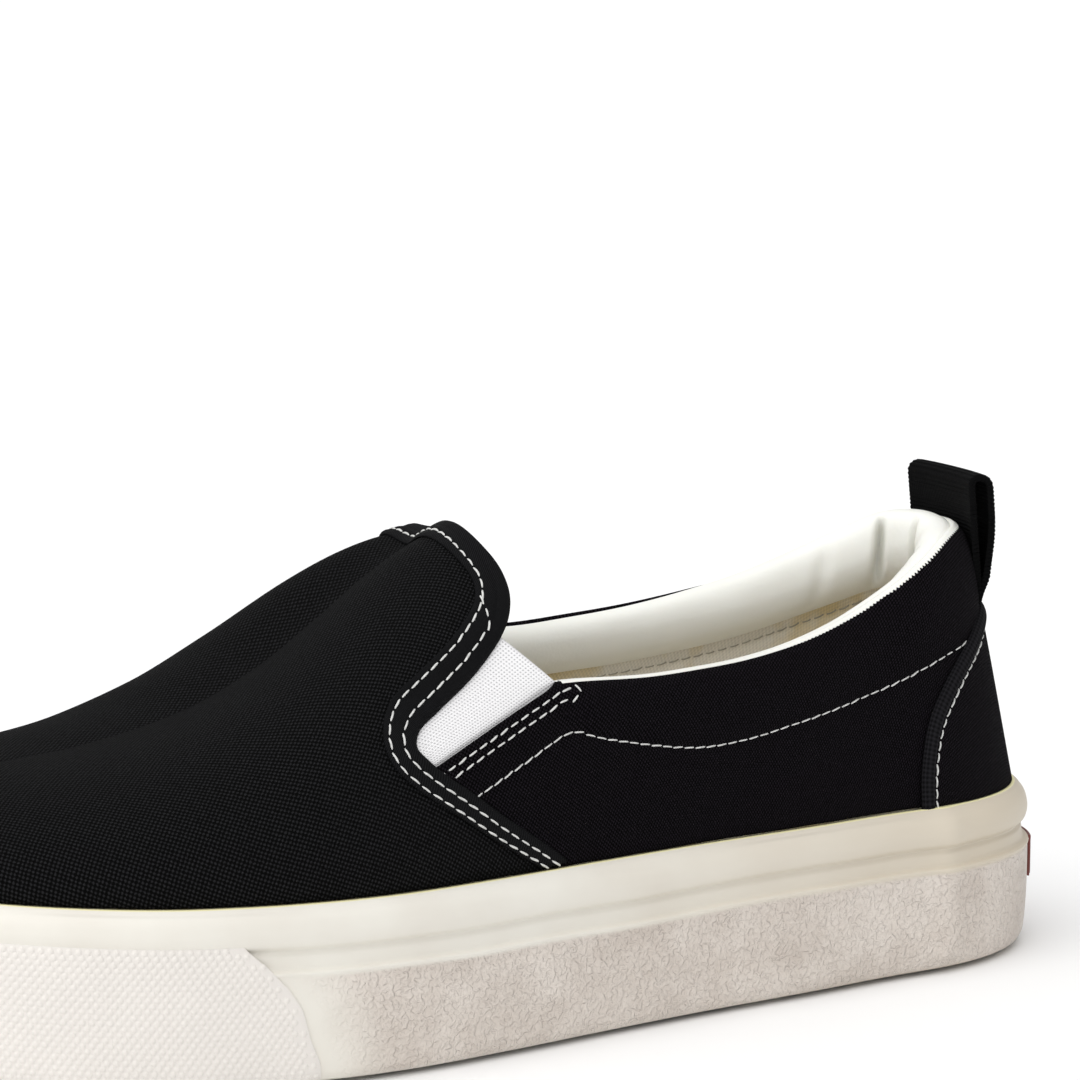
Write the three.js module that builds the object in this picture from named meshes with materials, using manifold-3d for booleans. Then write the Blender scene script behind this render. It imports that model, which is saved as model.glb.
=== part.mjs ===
// A low canvas slip-on sneaker for the left foot, standing empty on its sole.
// Millimetres, +Z up. While it is modelled the heel's back is at x = 0 and the toe points along +X,
// the outer (lateral) side of the foot is +Y, and the floor is z = 0.
import * as THREE from "three";
import { mergeVertices } from "three/addons/utils/BufferGeometryUtils.js";
import Module from "manifold-3d";

const wasm = await Module();
wasm.setup();

// Sizes of the whole shoe.
const SOLE_LENGTH = 294;
const BALL_WIDTH = 110;
const SIDEWALL_HEIGHT = 36.5;
const TOE_SPRING = 6;
const SPRING_START = 0.6;
const HEEL_RISE = 57.5;
const INSTEP_RISE = 65;
const GAP = 0.3;

// Sole and footbed.
const SIDEWALL_LIP = 4.5;
const SIDEWALL_RELIEF = 3.4;
const LIP_ROUND = 0.4;
const RECESS_DEPTH = 12.5;
const TREAD_DEPTH = 3;
const TREAD_PITCH = 13;
const TREAD_GROOVE = 3.6;
const TREAD_INSET = 6;
const WAIST_START = 0.31;
const WAIST_END = 0.43;
const INSOLE_THICKNESS = 4;
const INSOLE_EDGE = 1;
const BUMPER_THICKNESS = 0.9;
const LABEL_WIDTH = 32;
const LABEL_HEIGHT = 9.3;
const LABEL_TOP = 0.645;
const LABEL_THICKNESS = 0.6;

// Upper.
const WALL = 1.8;
const UPPER_INSET = SIDEWALL_LIP + GAP;
const CREASE_DEPTH = 3.4;
const CREASE_SIDE = -6.5;
const CREASE_WIDTH = 8.5;
const CREASE_MIDDLE = 0.51;
const CREASE_REACH = 55;
const CREASE_FADE = 1.2;
const BINDING_WIDTH = 6.4;
const BINDING_THICKNESS = 1.1;
const COUNTER_THICKNESS = 1.1;
const GORE_SINK = 0.4;
const GORE_THICKNESS = 1.1;
const GORE_TOP = 0.81;
const LINING_DEPTH = 15;
const LINING_THICKNESS = 8.5;
const LINING_END = 1.5;
const LOOP_WIDTH = 24.5;
const LOOP_STAND = 11;
const LOOP_BEND = 3;
const LOOP_ROUND = 1;
const LOOP_STRAP = 1.5;
const LOOP_SLIT = 3.4;
const LOOP_PARTING = 1.6;
const LOOP_LEAN = 0.21;
const LOOP_FLAT = 1.5;
const LOOP_FLATTEN = 0.8;
const LOOP_CLEAR = 0.15;

// Sole outline: share of the length, then lateral, medial and centre-shift shares of half the ball width.
const OUTLINE = [
  [0.0, 0.65, 0.65, 0],
  [0.08, 0.65, 0.65, 0],
  [0.16, 0.66, 0.66, 0],
  [0.25, 0.73, 0.67, 0],
  [0.35, 0.8, 0.67, 0],
  [0.44, 0.88, 0.69, 0],
  [0.52, 0.957, 0.756, 0],
  [0.6, 1.026, 0.864, -0.01],
  [0.68, 1.04, 0.957, -0.02],
  [0.76, 1.01, 0.987, -0.03],
  [0.84, 0.962, 0.977, -0.05],
  [0.92, 0.923, 0.962, -0.07],
  [1.0, 0.884, 0.942, -0.09],
];
const HEEL_ROUND = 0.158;
const HEEL_SQUARENESS = 2.1;
const TOE_ROUND = 0.25;
const TOE_SQUARENESS = 2.15;

// Sidewall section: height share of the sidewall, distance out from the sole outline as a share of the
// relief. From the floor up: rounded foot, textured band, its upper edge, lower rib, groove, upper rib, lip.
const SIDEWALL = [
  [0.03, -0.68],
  [0.055, -0.32],
  [0.14, -0.07],
  [0.33, 0.03],
  [0.6, 0],
  [0.65, -0.12],
  [0.69, -0.07],
  [0.745, -0.47],
  [0.79, -0.35],
  [0.85, -0.2],
  [0.93, -0.41],
  [1.0, -1],
];

// Upper sections: share along the spine, ridge height above the sidewall as a share of the instep rise,
// squareness on the lateral and medial sides, and how far the wall leans in per height.
const SECTIONS = [
  [0.0, 1.254, 4.7, 4.7, 0.21],
  [0.15, 1.254, 4.8, 4.8, 0.205],
  [0.3, 1.223, 4.2, 4.2, 0.18],
  [0.4, 1.162, 3.3, 3.3, 0.15],
  [0.48, 1.085, 2.5, 1.8, 0.1],
  [0.54, 1.0, 2.2, 1.74, 0.07],
  [0.6, 0.869, 2.1, 1.8, 0.05],
  [0.66, 0.715, 2.1, 1.85, 0.03],
  [0.72, 0.577, 2.1, 1.85, 0.02],
  [0.8, 0.454, 2.15, 1.9, 0.01],
  [0.9, 0.362, 2.2, 2.1, 0],
  [1.0, 0.315, 2.3, 2.3, 0],
];
// The ridge line the sections close on: shares of the length, then side shares of half the ball width.
const SPINE_HEEL = 0.116;
const SPINE_TOE = 0.827;
const SPINE_SIDE = -0.036;
const SPINE_TURN = -0.045;

// Side-view lines: share of the sole length, height above the sidewall as a share of the heel rise.
// Rear edge of the vamp from the top of the throat down to the foot of the elastic gore.
const VAMP_EDGE = [
  [0.52, 1.6],
  [0.511, 1.25],
  [0.502, 1.1],
  [0.495, 1.01],
  [0.492, 0.93],
  [0.495, 0.86],
  [0.503, 0.805],
  [0.53, 0.694],
  [0.562, 0.593],
  [0.581, 0.53],
  [0.586, 0.474],
  [0.574, 0.401],
];
// The same edge carried on over the quarter to the sidewall.
const VAMP_LAP = [
  [0.574, 0.401],
  [0.549, 0.307],
  [0.518, 0.189],
  [0.488, 0.085],
  [0.458, -0.03],
];
// Front edge of the quarter along the gore, from its foot up to the corner of the collar.
const GORE_EDGE = [
  [0.574, 0.401],
  [0.536, 0.484],
  [0.5, 0.56],
  [0.466, 0.634],
];
// Collar line from the quarter's corner back to the heel, lateral side then medial side.
const COLLAR = [
  [0.466, 0.634, 0.634],
  [0.447, 0.632, 0.634],
  [0.386, 0.614, 0.632],
  [0.341, 0.616, 0.65],
  [0.295, 0.628, 0.672],
  [0.249, 0.66, 0.706],
  [0.2, 0.72, 0.755],
  [0.15, 0.82, 0.835],
  [0.118, 0.9, 0.9],
  [0.09, 0.965, 0.965],
  [0.06, 0.995, 0.995],
  [-0.03, 1.0, 1.0],
];
// Front edge of the heel counter from the sidewall up to the back seam.
const COUNTER_EDGE = [
  [0.148, -0.03],
  [0.145, 0.136],
  [0.134, 0.313],
  [0.114, 0.449],
  [0.084, 0.58],
  [0.05, 0.69],
  [-0.03, 0.72],
];
// Rear end of the toe bumper: share of the length, height share of the sidewall.
const BUMPER_END = [
  [0.67, -0.1],
  [0.675, 0.15],
  [0.682, 0.28],
  [0.688, 0.45],
  [0.697, 0.56],
  [0.711, 0.68],
  [0.728, 0.8],
  [0.76, 1],
];
// Padded collar section: share of the pad's thickness inward, then height from the collar line as a
// share of the lining's depth.
const PAD_SECTION = [
  [0, -1],
  [0, -0.47],
  [0, -0.03],
  [0.12, 0.05],
  [0.42, 0.09],
  [0.76, 0.03],
  [0.96, -0.16],
  [1, -0.4],
  [0.86, -0.7],
  [0.5, -0.95],
];
// Pad thickness along the shoe: share of the length, share of the lining's thickness.
const PAD_THICKNESS = [
  [0.0, 1],
  [0.1, 0.94],
  [0.2, 0.77],
  [0.35, 0.59],
  [0.5, 0.47],
];
// Width of the vamp binding from the throat down to the sidewall, as a share of its full width.
const BINDING_TAPER = [
  [0.0, 1],
  [0.6, 1.02],
  [0.8, 0.88],
  [1.0, 0.62],
];

const AROUND = 42;
const UPPER_ROWS = 12;
// Cutting shapes reach this far past the shoe.
const BEYOND = SOLE_LENGTH;

// Cubic curve through a table's rows; column 0 is the parameter.
function tableAt(table, column, at) {
  const last = table.length - 1;
  const t = Math.min(Math.max(at, table[0][0]), table[last][0]);
  let i = 0;
  while (i < last - 1 && t > table[i + 1][0]) {
    i += 1;
  }
  const slope = (k) => {
    const a = table[Math.max(k - 1, 0)];
    const b = table[Math.min(k + 1, last)];
    return (b[column] - a[column]) / (b[0] - a[0]);
  };
  const h = table[i + 1][0] - table[i][0];
  const u = (t - table[i][0]) / h;
  const start = (2 * u ** 3 - 3 * u ** 2 + 1) * table[i][column];
  const startSlope = (u ** 3 - 2 * u ** 2 + u) * h * slope(i);
  const end = (3 * u ** 2 - 2 * u ** 3) * table[i + 1][column];
  const endSlope = (u ** 3 - u ** 2) * h * slope(i + 1);
  return start + startSlope + end + endSlope;
}

// How far the toe spring lifts everything at x.
function lift(x) {
  const along = Math.max((x / SOLE_LENGTH - SPRING_START) / (1 - SPRING_START), 0);
  return TOE_SPRING * along * along;
}

// Sole outline at station tau, 0 at the heel's back and 1 at the toe; side is 1 lateral, -1 medial.
function outlineRaw(tauAsked, sideAsked) {
  const beyond = tauAsked < 0 || tauAsked > 1;
  const side = beyond ? -sideAsked : sideAsked;
  const tau = tauAsked < 0 ? -tauAsked : tauAsked > 1 ? 2 - tauAsked : tauAsked;
  const t = (1 - Math.cos(Math.PI * tau)) / 2;
  const heel = Math.min(Math.max((HEEL_ROUND - t) / HEEL_ROUND, 0), 1);
  const toe = Math.min(Math.max((t - 1 + TOE_ROUND) / TOE_ROUND, 0), 1);
  const heelRound = (1 - heel ** HEEL_SQUARENESS) ** (1 / HEEL_SQUARENESS);
  const toeRound = (1 - toe ** TOE_SQUARENESS) ** (1 / TOE_SQUARENESS);
  const half = tableAt(OUTLINE, side > 0 ? 1 : 2, t) * (BALL_WIDTH / 2) * heelRound * toeRound;
  const shift = tableAt(OUTLINE, 3, t) * (BALL_WIDTH / 2);
  return [t * SOLE_LENGTH, shift + side * half];
}

// The same, moved out along its own normal.
function outline(tau, side, out) {
  const step = 1e-3;
  const p = outlineRaw(tau, side);
  const before = outlineRaw(tau - step, side);
  const after = outlineRaw(tau + step, side);
  const dx = after[0] - before[0];
  const dy = after[1] - before[1];
  const length = Math.hypot(dx, dy);
  const nx = (-dy / length) * side;
  const ny = (dx / length) * side;
  return { x: p[0] + nx * out, y: p[1] + ny * out, nx, ny, t: p[0] / SOLE_LENGTH };
}

// Stations round the shoe: lateral side from heel to toe, then medial side back.
function stations() {
  const list = [];
  for (let i = 0; i <= AROUND; i += 1) {
    list.push([i / AROUND, 1]);
  }
  for (let i = AROUND - 1; i > 0; i -= 1) {
    list.push([i / AROUND, -1]);
  }
  return list;
}

// Point of the upper's form: angle 0 at the sidewall's top, a right angle at the ridge.
function upperPoint(tau, side, angle, out) {
  const foot = outline(tau, side, out - UPPER_INSET);
  const base = SIDEWALL_HEIGHT + lift(foot.t * SOLE_LENGTH);
  const ridge = SIDEWALL_HEIGHT + tableAt(SECTIONS, 1, foot.t) * INSTEP_RISE + out;
  const squareness = tableAt(SECTIONS, side > 0 ? 2 : 3, foot.t);
  const inward = 1 - Math.max(Math.cos(angle), 0) ** (2 / squareness);
  const height = Math.sin(angle) ** (2 / squareness) * (ridge - base);
  const lean = tableAt(SECTIONS, 4, foot.t) * height;
  const spineX = (SPINE_HEEL + (SPINE_TOE - SPINE_HEEL) * foot.t) * SOLE_LENGTH;
  const spineY = (SPINE_SIDE + SPINE_TURN * foot.t) * (BALL_WIDTH / 2);
  const x = (1 - inward) * (foot.x - foot.nx * lean) + inward * spineX;
  const y = (1 - inward) * (foot.y - foot.ny * lean) + inward * spineY;
  const away = Math.abs(x - CREASE_MIDDLE * SOLE_LENGTH) / CREASE_REACH;
  const near = Math.max(1 - away, 0) ** CREASE_FADE;
  const crease = CREASE_DEPTH * near * Math.exp(-(((y - CREASE_SIDE) / CREASE_WIDTH) ** 2));
  return [x, y, base + height - crease];
}

// Point of the form's wall at a given height.
function wallPoint(tau, side, z, out) {
  let low = 0;
  let high = Math.PI / 2;
  for (let i = 0; i < 40; i += 1) {
    const middle = (low + high) / 2;
    if (upperPoint(tau, side, middle, out)[2] < z) {
      low = middle;
    } else {
      high = middle;
    }
  }
  const p = upperPoint(tau, side, (low + high) / 2, out);
  return [p[0], p[1], z];
}

// A closed solid from triangles; points that share a place are joined.
function solidFrom(points, faces) {
  const geometry = new THREE.BufferGeometry();
  const flat = new Float32Array(faces.length * 9);
  faces.forEach((face, i) => {
    face.forEach((index, k) => {
      flat.set(points[index], i * 9 + k * 3);
    });
  });
  geometry.setAttribute("position", new THREE.BufferAttribute(flat, 3));
  return solidOf(geometry);
}

function solidOf(geometry) {
  const bare = geometry.clone();
  bare.deleteAttribute("normal");
  bare.deleteAttribute("uv");
  const merged = mergeVertices(bare, 1e-3);
  const kept = [];
  const index = merged.index.array;
  for (let i = 0; i < index.length; i += 3) {
    const [a, b, c] = [index[i], index[i + 1], index[i + 2]];
    if (a !== b && b !== c && a !== c) {
      kept.push(a, b, c);
    }
  }
  return new wasm.Manifold(
    new wasm.Mesh({
      numProp: 3,
      vertProperties: merged.attributes.position.array,
      triVerts: new Uint32Array(kept),
    }),
  );
}

function geometryOf(solid) {
  const mesh = solid.getMesh();
  const geometry = new THREE.BufferGeometry();
  geometry.setAttribute("position", new THREE.BufferAttribute(mesh.vertProperties, 3));
  geometry.setIndex(new THREE.BufferAttribute(mesh.triVerts, 1));
  return geometry;
}

// Rings of equal length, bottom ring first, each running lateral side first; closed top and bottom
// by strips that cross from the lateral side to the medial side.
function stackSolid(rings) {
  const count = rings[0].length;
  const points = rings.flat();
  const faces = [];
  for (let row = 0; row + 1 < rings.length; row += 1) {
    for (let i = 0; i < count; i += 1) {
      const a = row * count + i;
      const b = row * count + ((i + 1) % count);
      faces.push([a, b + count, b], [a, a + count, b + count]);
    }
  }
  const cap = (start, flip) => {
    for (let i = 0; i < AROUND; i += 1) {
      const a = start + i;
      const b = start + i + 1;
      const c = start + ((count - i - 1) % count);
      const d = start + ((count - i) % count);
      const pair = [
        [a, b, c],
        [a, c, d],
      ];
      for (const face of pair) {
        if (new Set(face).size === 3) {
          faces.push(flip ? [face[0], face[2], face[1]] : face);
        }
      }
    }
  };
  cap(0, false);
  cap((rings.length - 1) * count, true);
  return solidFrom(points, faces);
}

// A closed ring-shaped solid: rows make a loop in section.
function hoopSolid(rings) {
  const count = rings[0].length;
  const points = rings.flat();
  const faces = [];
  for (let row = 0; row < rings.length; row += 1) {
    const next = (row + 1) % rings.length;
    for (let i = 0; i < count; i += 1) {
      const j = (i + 1) % count;
      faces.push([row * count + i, next * count + j, row * count + j]);
      faces.push([row * count + i, next * count + i, next * count + j]);
    }
  }
  return solidFrom(points, faces);
}

// A solid swept through closed sections of equal length, capped flat at both ends.
function sweepSolid(sections, flat) {
  const count = sections[0].length;
  const points = sections.flat();
  const faces = [];
  for (let s = 0; s + 1 < sections.length; s += 1) {
    for (let i = 0; i < count; i += 1) {
      const j = (i + 1) % count;
      const a = s * count + i;
      const b = s * count + j;
      faces.push([a, b, b + count], [a, b + count, a + count]);
    }
  }
  const shape = flat.map((p) => new THREE.Vector2(p[0], p[1]));
  const turn = Math.sign(THREE.ShapeUtils.area(shape));
  const last = (sections.length - 1) * count;
  for (const face of THREE.ShapeUtils.triangulateShape(shape, [])) {
    const same = Math.sign(THREE.ShapeUtils.area(face.map((i) => shape[i]))) === turn;
    const [a, b, c] = same ? face : [face[0], face[2], face[1]];
    faces.push([a, c, b], [last + a, last + b, last + c]);
  }
  const made = solidFrom(points, faces);
  return made.volume() < 0 ? solidFrom(points, faces.map((f) => [f[0], f[2], f[1]])) : made;
}

// Side-view polygon (x, z) carried across the shoe from y = from to y = to.
function sidePrism(polygon, from, to) {
  const shape = new THREE.Shape(polygon.map((p) => new THREE.Vector2(p[0], p[1])));
  const geometry = new THREE.ExtrudeGeometry(shape, { depth: to - from, bevelEnabled: false });
  geometry.rotateX(Math.PI / 2);
  geometry.translate(0, to, 0);
  return solidOf(geometry);
}

// A smooth line through a side-view table, in millimetres.
function sideLine(table, pieces, column = 1) {
  const points = table.map((row) => {
    return new THREE.Vector3(row[0] * SOLE_LENGTH, SIDEWALL_HEIGHT + row[column] * HEEL_RISE, 0);
  });
  const curve = new THREE.CatmullRomCurve3(points, false, "centripetal");
  return curve.getSpacedPoints(pieces).map((p) => [p.x, p.y]);
}

// The same line moved sideways, positive to the left of its direction; distance is a function of the
// share along the line.
function moved(line, distance) {
  return line.map((p, i) => {
    const a = line[Math.max(i - 1, 0)];
    const b = line[Math.min(i + 1, line.length - 1)];
    const length = Math.hypot(b[0] - a[0], b[1] - a[1]);
    const step = distance(i / (line.length - 1)) / length;
    return [p[0] - (b[1] - a[1]) * step, p[1] + (b[0] - a[0]) * step];
  });
}

// Two lines joined where the last stretch of the first meets the first stretch of the second.
function joined(first, second) {
  const [a, b] = first.slice(-2);
  const [c, d] = second.slice(0, 2);
  const [ux, uz] = [b[0] - a[0], b[1] - a[1]];
  const [vx, vz] = [d[0] - c[0], d[1] - c[1]];
  const share = ((c[0] - a[0]) * vz - (c[1] - a[1]) * vx) / (ux * vz - uz * vx);
  return [...first.slice(0, -1), [a[0] + ux * share, a[1] + uz * share], ...second.slice(1)];
}

const round = stations();

function soleRing(out, z) {
  return round.map(([tau, side]) => {
    const p = outline(tau, side, out);
    return [p.x, p.y, z + lift(p.t * SOLE_LENGTH)];
  });
}

// Ring of the sidewall's face at one row of its section, moved out a little.
function sidewallRing(row, out) {
  return soleRing(row[1] * SIDEWALL_RELIEF + out, row[0] * SIDEWALL_HEIGHT);
}

// A thin hoop that follows the sidewall's face from one row of its section to another.
function sidewallHoop(outFrom, outTo, firstRow, lastRow) {
  const rows = SIDEWALL.slice(firstRow, lastRow + 1);
  const outer = rows.map((row) => sidewallRing(row, outTo));
  const inner = rows.map((row) => sidewallRing(row, outFrom));
  return hoopSolid([...outer, ...inner.reverse()]);
}

const floorHeight = SIDEWALL_HEIGHT - RECESS_DEPTH;

// Rubber sidewall: a hoop with the side's ribs outside and a straight face inside.
const sidewall = hoopSolid([
  ...SIDEWALL.map((row) => sidewallRing(row, 0)),
  soleRing(-SIDEWALL_LIP, SIDEWALL_HEIGHT - LIP_ROUND),
  soleRing(-SIDEWALL_LIP, SIDEWALL[0][0] * SIDEWALL_HEIGHT),
]);

// Outsole: the slab under the foot, with cross bars and a waist that stays off the floor.
const slab = stackSolid([
  soleRing(-UPPER_INSET, TREAD_DEPTH),
  soleRing(-UPPER_INSET, floorHeight),
]);
const treadBlock = stackSolid([soleRing(-TREAD_INSET, 0), soleRing(-TREAD_INSET, 2 * TREAD_DEPTH)]);
const grooves = [];
const waistStart = WAIST_START * SOLE_LENGTH;
const waistEnd = WAIST_END * SOLE_LENGTH;
for (let x = TREAD_PITCH; x < SOLE_LENGTH - TREAD_PITCH; x += TREAD_PITCH) {
  const inWaist = x > waistStart - TREAD_PITCH / 2 && x < waistEnd + TREAD_PITCH / 2;
  if (!inWaist) {
    grooves.push([x - TREAD_GROOVE / 2, x + TREAD_GROOVE / 2, TREAD_DEPTH + lift(x)]);
  }
}
grooves.push([waistStart, waistEnd, TREAD_DEPTH]);
let tread = treadBlock;
for (const [rear, front, top] of grooves) {
  const section = [
    [rear, -TREAD_DEPTH],
    [front, -TREAD_DEPTH],
    [front, top],
    [rear, top],
  ];
  tread = tread.subtract(sidePrism(section, -BEYOND, BEYOND));
}
const outsole = slab.add(tread);

// Insole: a thin board that fills the upper's foot.
const insoleOut = -UPPER_INSET - WALL - GAP;
const insole = stackSolid([
  soleRing(insoleOut, floorHeight + GAP),
  soleRing(insoleOut, floorHeight + INSOLE_THICKNESS - INSOLE_EDGE),
  soleRing(insoleOut - INSOLE_EDGE, floorHeight + INSOLE_THICKNESS),
]);

// Toe bumper: a thin strip between two copies of the sidewall's own section.
const bumperHoop = sidewallHoop(GAP, GAP + BUMPER_THICKNESS, 1, 7);
const bumperEnd = BUMPER_END.map((row) => [row[0] * SOLE_LENGTH, row[1] * SIDEWALL_HEIGHT]);
const bumperRegion = [...bumperEnd, [BEYOND * 2, bumperEnd.at(-1)[1]], [BEYOND * 2, bumperEnd[0][1]]];
const bumper = bumperHoop.intersect(sidePrism(bumperRegion, -BEYOND, BEYOND));

// Heel label: a small plain plate on the textured band.
const labelHoop = sidewallHoop(GAP, GAP + LABEL_THICKNESS, 2, 5);
const labelBlock = new THREE.BoxGeometry(BALL_WIDTH / 2, LABEL_WIDTH, LABEL_HEIGHT);
labelBlock.translate(0, 0, LABEL_TOP * SIDEWALL_HEIGHT - LABEL_HEIGHT / 2);
const label = labelHoop.intersect(solidOf(labelBlock));

// The upper's form as a filled solid: straight inside the sole's recess, then over the foot.
function formSolid(out, bottom) {
  const rings = [soleRing(out - UPPER_INSET, bottom)];
  const firstRow = bottom < SIDEWALL_HEIGHT ? 0 : 1;
  for (let row = firstRow; row <= UPPER_ROWS; row += 1) {
    const angle = (row / UPPER_ROWS) * (Math.PI / 2);
    rings.push(round.map(([tau, side]) => upperPoint(tau, side, angle, out)));
  }
  return stackSolid(rings);
}

const formBottom = floorHeight + GAP;
const shell = formSolid(0, formBottom).subtract(formSolid(-WALL, formBottom - WALL));

// The opening: everything above the collar line and behind the vamp's rear edge, with the gores' windows.
const vampEdge = sideLine(VAMP_EDGE, 22);
const goreEdge = sideLine(GORE_EDGE, 5);
const collarLateral = sideLine(COLLAR, 24, 1);
const collarMedial = sideLine(COLLAR, 24, 2);
function openingFor(collarLine, from, to) {
  const region = [
    ...vampEdge,
    ...goreEdge.slice(1),
    ...collarLine.slice(1),
    [-BEYOND, BEYOND],
    [vampEdge[0][0], BEYOND],
  ];
  return sidePrism(region, from, to);
}
// The two sides' cuts overlap a little at the shoe's middle.
const openingLateral = openingFor(collarLateral, -GAP, BEYOND);
const openingMedial = openingFor(collarMedial, -BEYOND, GAP);
const upper = shell.subtract(openingLateral).subtract(openingMedial);

// A layer of the form between two distances out from its face, kept inside a side-view region.
function layer(from, to, polygon, yFrom, yTo) {
  const skin = formSolid(to, SIDEWALL_HEIGHT + GAP).subtract(formSolid(from, SIDEWALL_HEIGHT - WALL));
  return skin.intersect(sidePrism(polygon, yFrom, yTo));
}

// Elastic gores: sunk a little between the vamp's edge and the quarter's edge.
const goreTop = [COLLAR[0][0] * SOLE_LENGTH, SIDEWALL_HEIGHT + COLLAR[0][1] * HEEL_RISE];
const goreFront = vampEdge.filter((p) => p[1] < SIDEWALL_HEIGHT + GORE_TOP * HEEL_RISE);
const inset = () => -GAP;
const goreOutline = joined(moved(goreFront, inset), moved(goreEdge, inset));
const goreLateral = layer(-GORE_SINK - GORE_THICKNESS, -GORE_SINK, goreOutline, 0, BEYOND);
const goreMedial = layer(-GORE_SINK - GORE_THICKNESS, -GORE_SINK, goreOutline, -BEYOND, 0);

// Vamp binding: one band over the throat and down both sides to the sidewall.
const bindingRear = [...vampEdge, ...sideLine(VAMP_LAP, 8).slice(1)];
const bindingFront = moved(bindingRear, (share) => BINDING_WIDTH * tableAt(BINDING_TAPER, 1, share));
const bindingOutline = [...bindingRear, ...bindingFront.reverse()];
const binding = layer(GAP, GAP + BINDING_THICKNESS, bindingOutline, -BEYOND, BEYOND);

// Heel counter: an outside layer round the heel's back, below the pull loop.
const counterEdge = sideLine(COUNTER_EDGE, 14);
const counterBack = [counterEdge.at(-1)[0], counterEdge[0][1]];
const counter = layer(GAP, GAP + COUNTER_THICKNESS, [...counterEdge, counterBack], -BEYOND, BEYOND);

// Collar line's height at x on one side.
function collarHeight(x, side) {
  const collarLine = side > 0 ? collarLateral : collarMedial;
  let best = collarLine[0][1];
  for (let i = 0; i + 1 < collarLine.length; i += 1) {
    const [a, b] = [collarLine[i], collarLine[i + 1]];
    if (x <= a[0] && x >= b[0]) {
      best = a[1] + ((b[1] - a[1]) * (x - a[0])) / (b[0] - a[0]);
    }
  }
  return best;
}

// Station whose wall stands at x on the collar line.
function stationAt(x, side) {
  let low = 0;
  let high = 0.8;
  for (let i = 0; i < 40; i += 1) {
    const middle = (low + high) / 2;
    if (wallPoint(middle, side, collarHeight(x, side), 0)[0] < x) {
      low = middle;
    } else {
      high = middle;
    }
  }
  return (low + high) / 2;
}

// Padded collar lining: a soft roll inside the collar from one quarter's corner to the other.
const liningStations = [];
const frontLateral = stationAt(goreTop[0] - LINING_END, 1);
const frontMedial = stationAt(goreTop[0] - LINING_END, -1);
const sideSteps = 17;
for (let i = 0; i <= sideSteps; i += 1) {
  liningStations.push([frontLateral * (1 - i / sideSteps), 1]);
}
for (let i = 1; i <= sideSteps; i += 1) {
  liningStations.push([frontMedial * (i / sideSteps), -1]);
}
const liningSections = liningStations.map(([tau, side]) => {
  const start = wallPoint(tau, side, goreTop[1], 0);
  let height = collarHeight(start[0], side);
  const again = wallPoint(tau, side, height, 0);
  height = collarHeight(again[0], side);
  const thickness = LINING_THICKNESS * tableAt(PAD_THICKNESS, 1, again[0] / SOLE_LENGTH);
  return PAD_SECTION.map(([inward, rise]) => {
    const out = -WALL - GAP - inward * thickness;
    return wallPoint(tau, side, height + rise * LINING_DEPTH, out);
  });
});
const lining = sweepSolid(
  liningSections,
  PAD_SECTION.map(([inward, rise]) => [inward * LINING_THICKNESS, rise * LINING_DEPTH]),
);

// Pull loop: a folded strap on the outside of the heel; its layers part above the foot and meet in the fold.
const loopFoot = counterEdge.at(-1)[1] + GAP;
const loopTop = SIDEWALL_HEIGHT + HEEL_RISE + LOOP_STAND;
const loopRise = loopTop - LOOP_BEND - loopFoot;
const loopHeights = [0, 0.25, 0.5, 0.75, 1].map((share) => loopFoot + share * loopRise);
function loopSlit(z) {
  const share = Math.min((z - loopFoot) / loopRise, 1);
  return GAP + (LOOP_SLIT - GAP) * Math.sin((Math.PI / 2) * Math.min(share * LOOP_PARTING, 1));
}
const upwards = (face) => loopHeights.map((z) => [face(z), z]);
const frontFace = () => GAP;
const frontBack = () => GAP + LOOP_STRAP;
const rearFront = (z) => GAP + LOOP_STRAP + loopSlit(z);
const rearFace = (z) => GAP + 2 * LOOP_STRAP + loopSlit(z);
const loopMiddle = GAP + LOOP_STRAP + LOOP_SLIT / 2;
const loopSection = [
  ...upwards(frontFace),
  [GAP + LOOP_STRAP / 2, loopTop - LOOP_ROUND],
  [loopMiddle, loopTop],
  [rearFace(loopTop) - LOOP_STRAP / 2, loopTop - LOOP_ROUND],
  ...upwards(rearFace).reverse(),
  ...upwards(rearFront),
  [loopMiddle, loopTop - LOOP_STRAP],
  ...upwards(frontBack).reverse(),
];
// Station of the heel's wall at the loop's foot that stands y from the middle.
function heelStation(y) {
  const side = y >= 0 ? 1 : -1;
  let low = 0;
  let high = 0.3;
  for (let k = 0; k < 40; k += 1) {
    const middle = (low + high) / 2;
    if (Math.abs(wallPoint(middle, side, loopFoot, 0)[1]) < Math.abs(y)) {
      low = middle;
    } else {
      high = middle;
    }
  }
  return wallPoint((low + high) / 2, side, loopFoot, 0);
}
const loopSteps = 10;
const loopMid = heelStation(0)[0];
const loopSections = [];
for (let i = 0; i <= loopSteps; i += 1) {
  const y = LOOP_WIDTH * (0.5 - i / loopSteps);
  const wallX = heelStation(y)[0];
  const section = loopSection.map(([out, z]) => {
    const share = Math.min((z - loopFoot) / loopRise, 1);
    const flat = wallX + (loopMid + LOOP_FLAT - wallX) * share * LOOP_FLATTEN;
    return [flat + LOOP_LEAN * (z - loopFoot) - out - LOOP_CLEAR, y, z];
  });
  loopSections.push(section);
}
const loop = sweepSolid(loopSections, loopSection);

function finished(name, solid, colour, roughness) {
  const material = new THREE.MeshStandardMaterial({ color: colour, roughness, metalness: 0 });
  material.name = name;
  const mesh = new THREE.Mesh(geometryOf(solid), material);
  mesh.name = name;
  return mesh;
}

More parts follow.
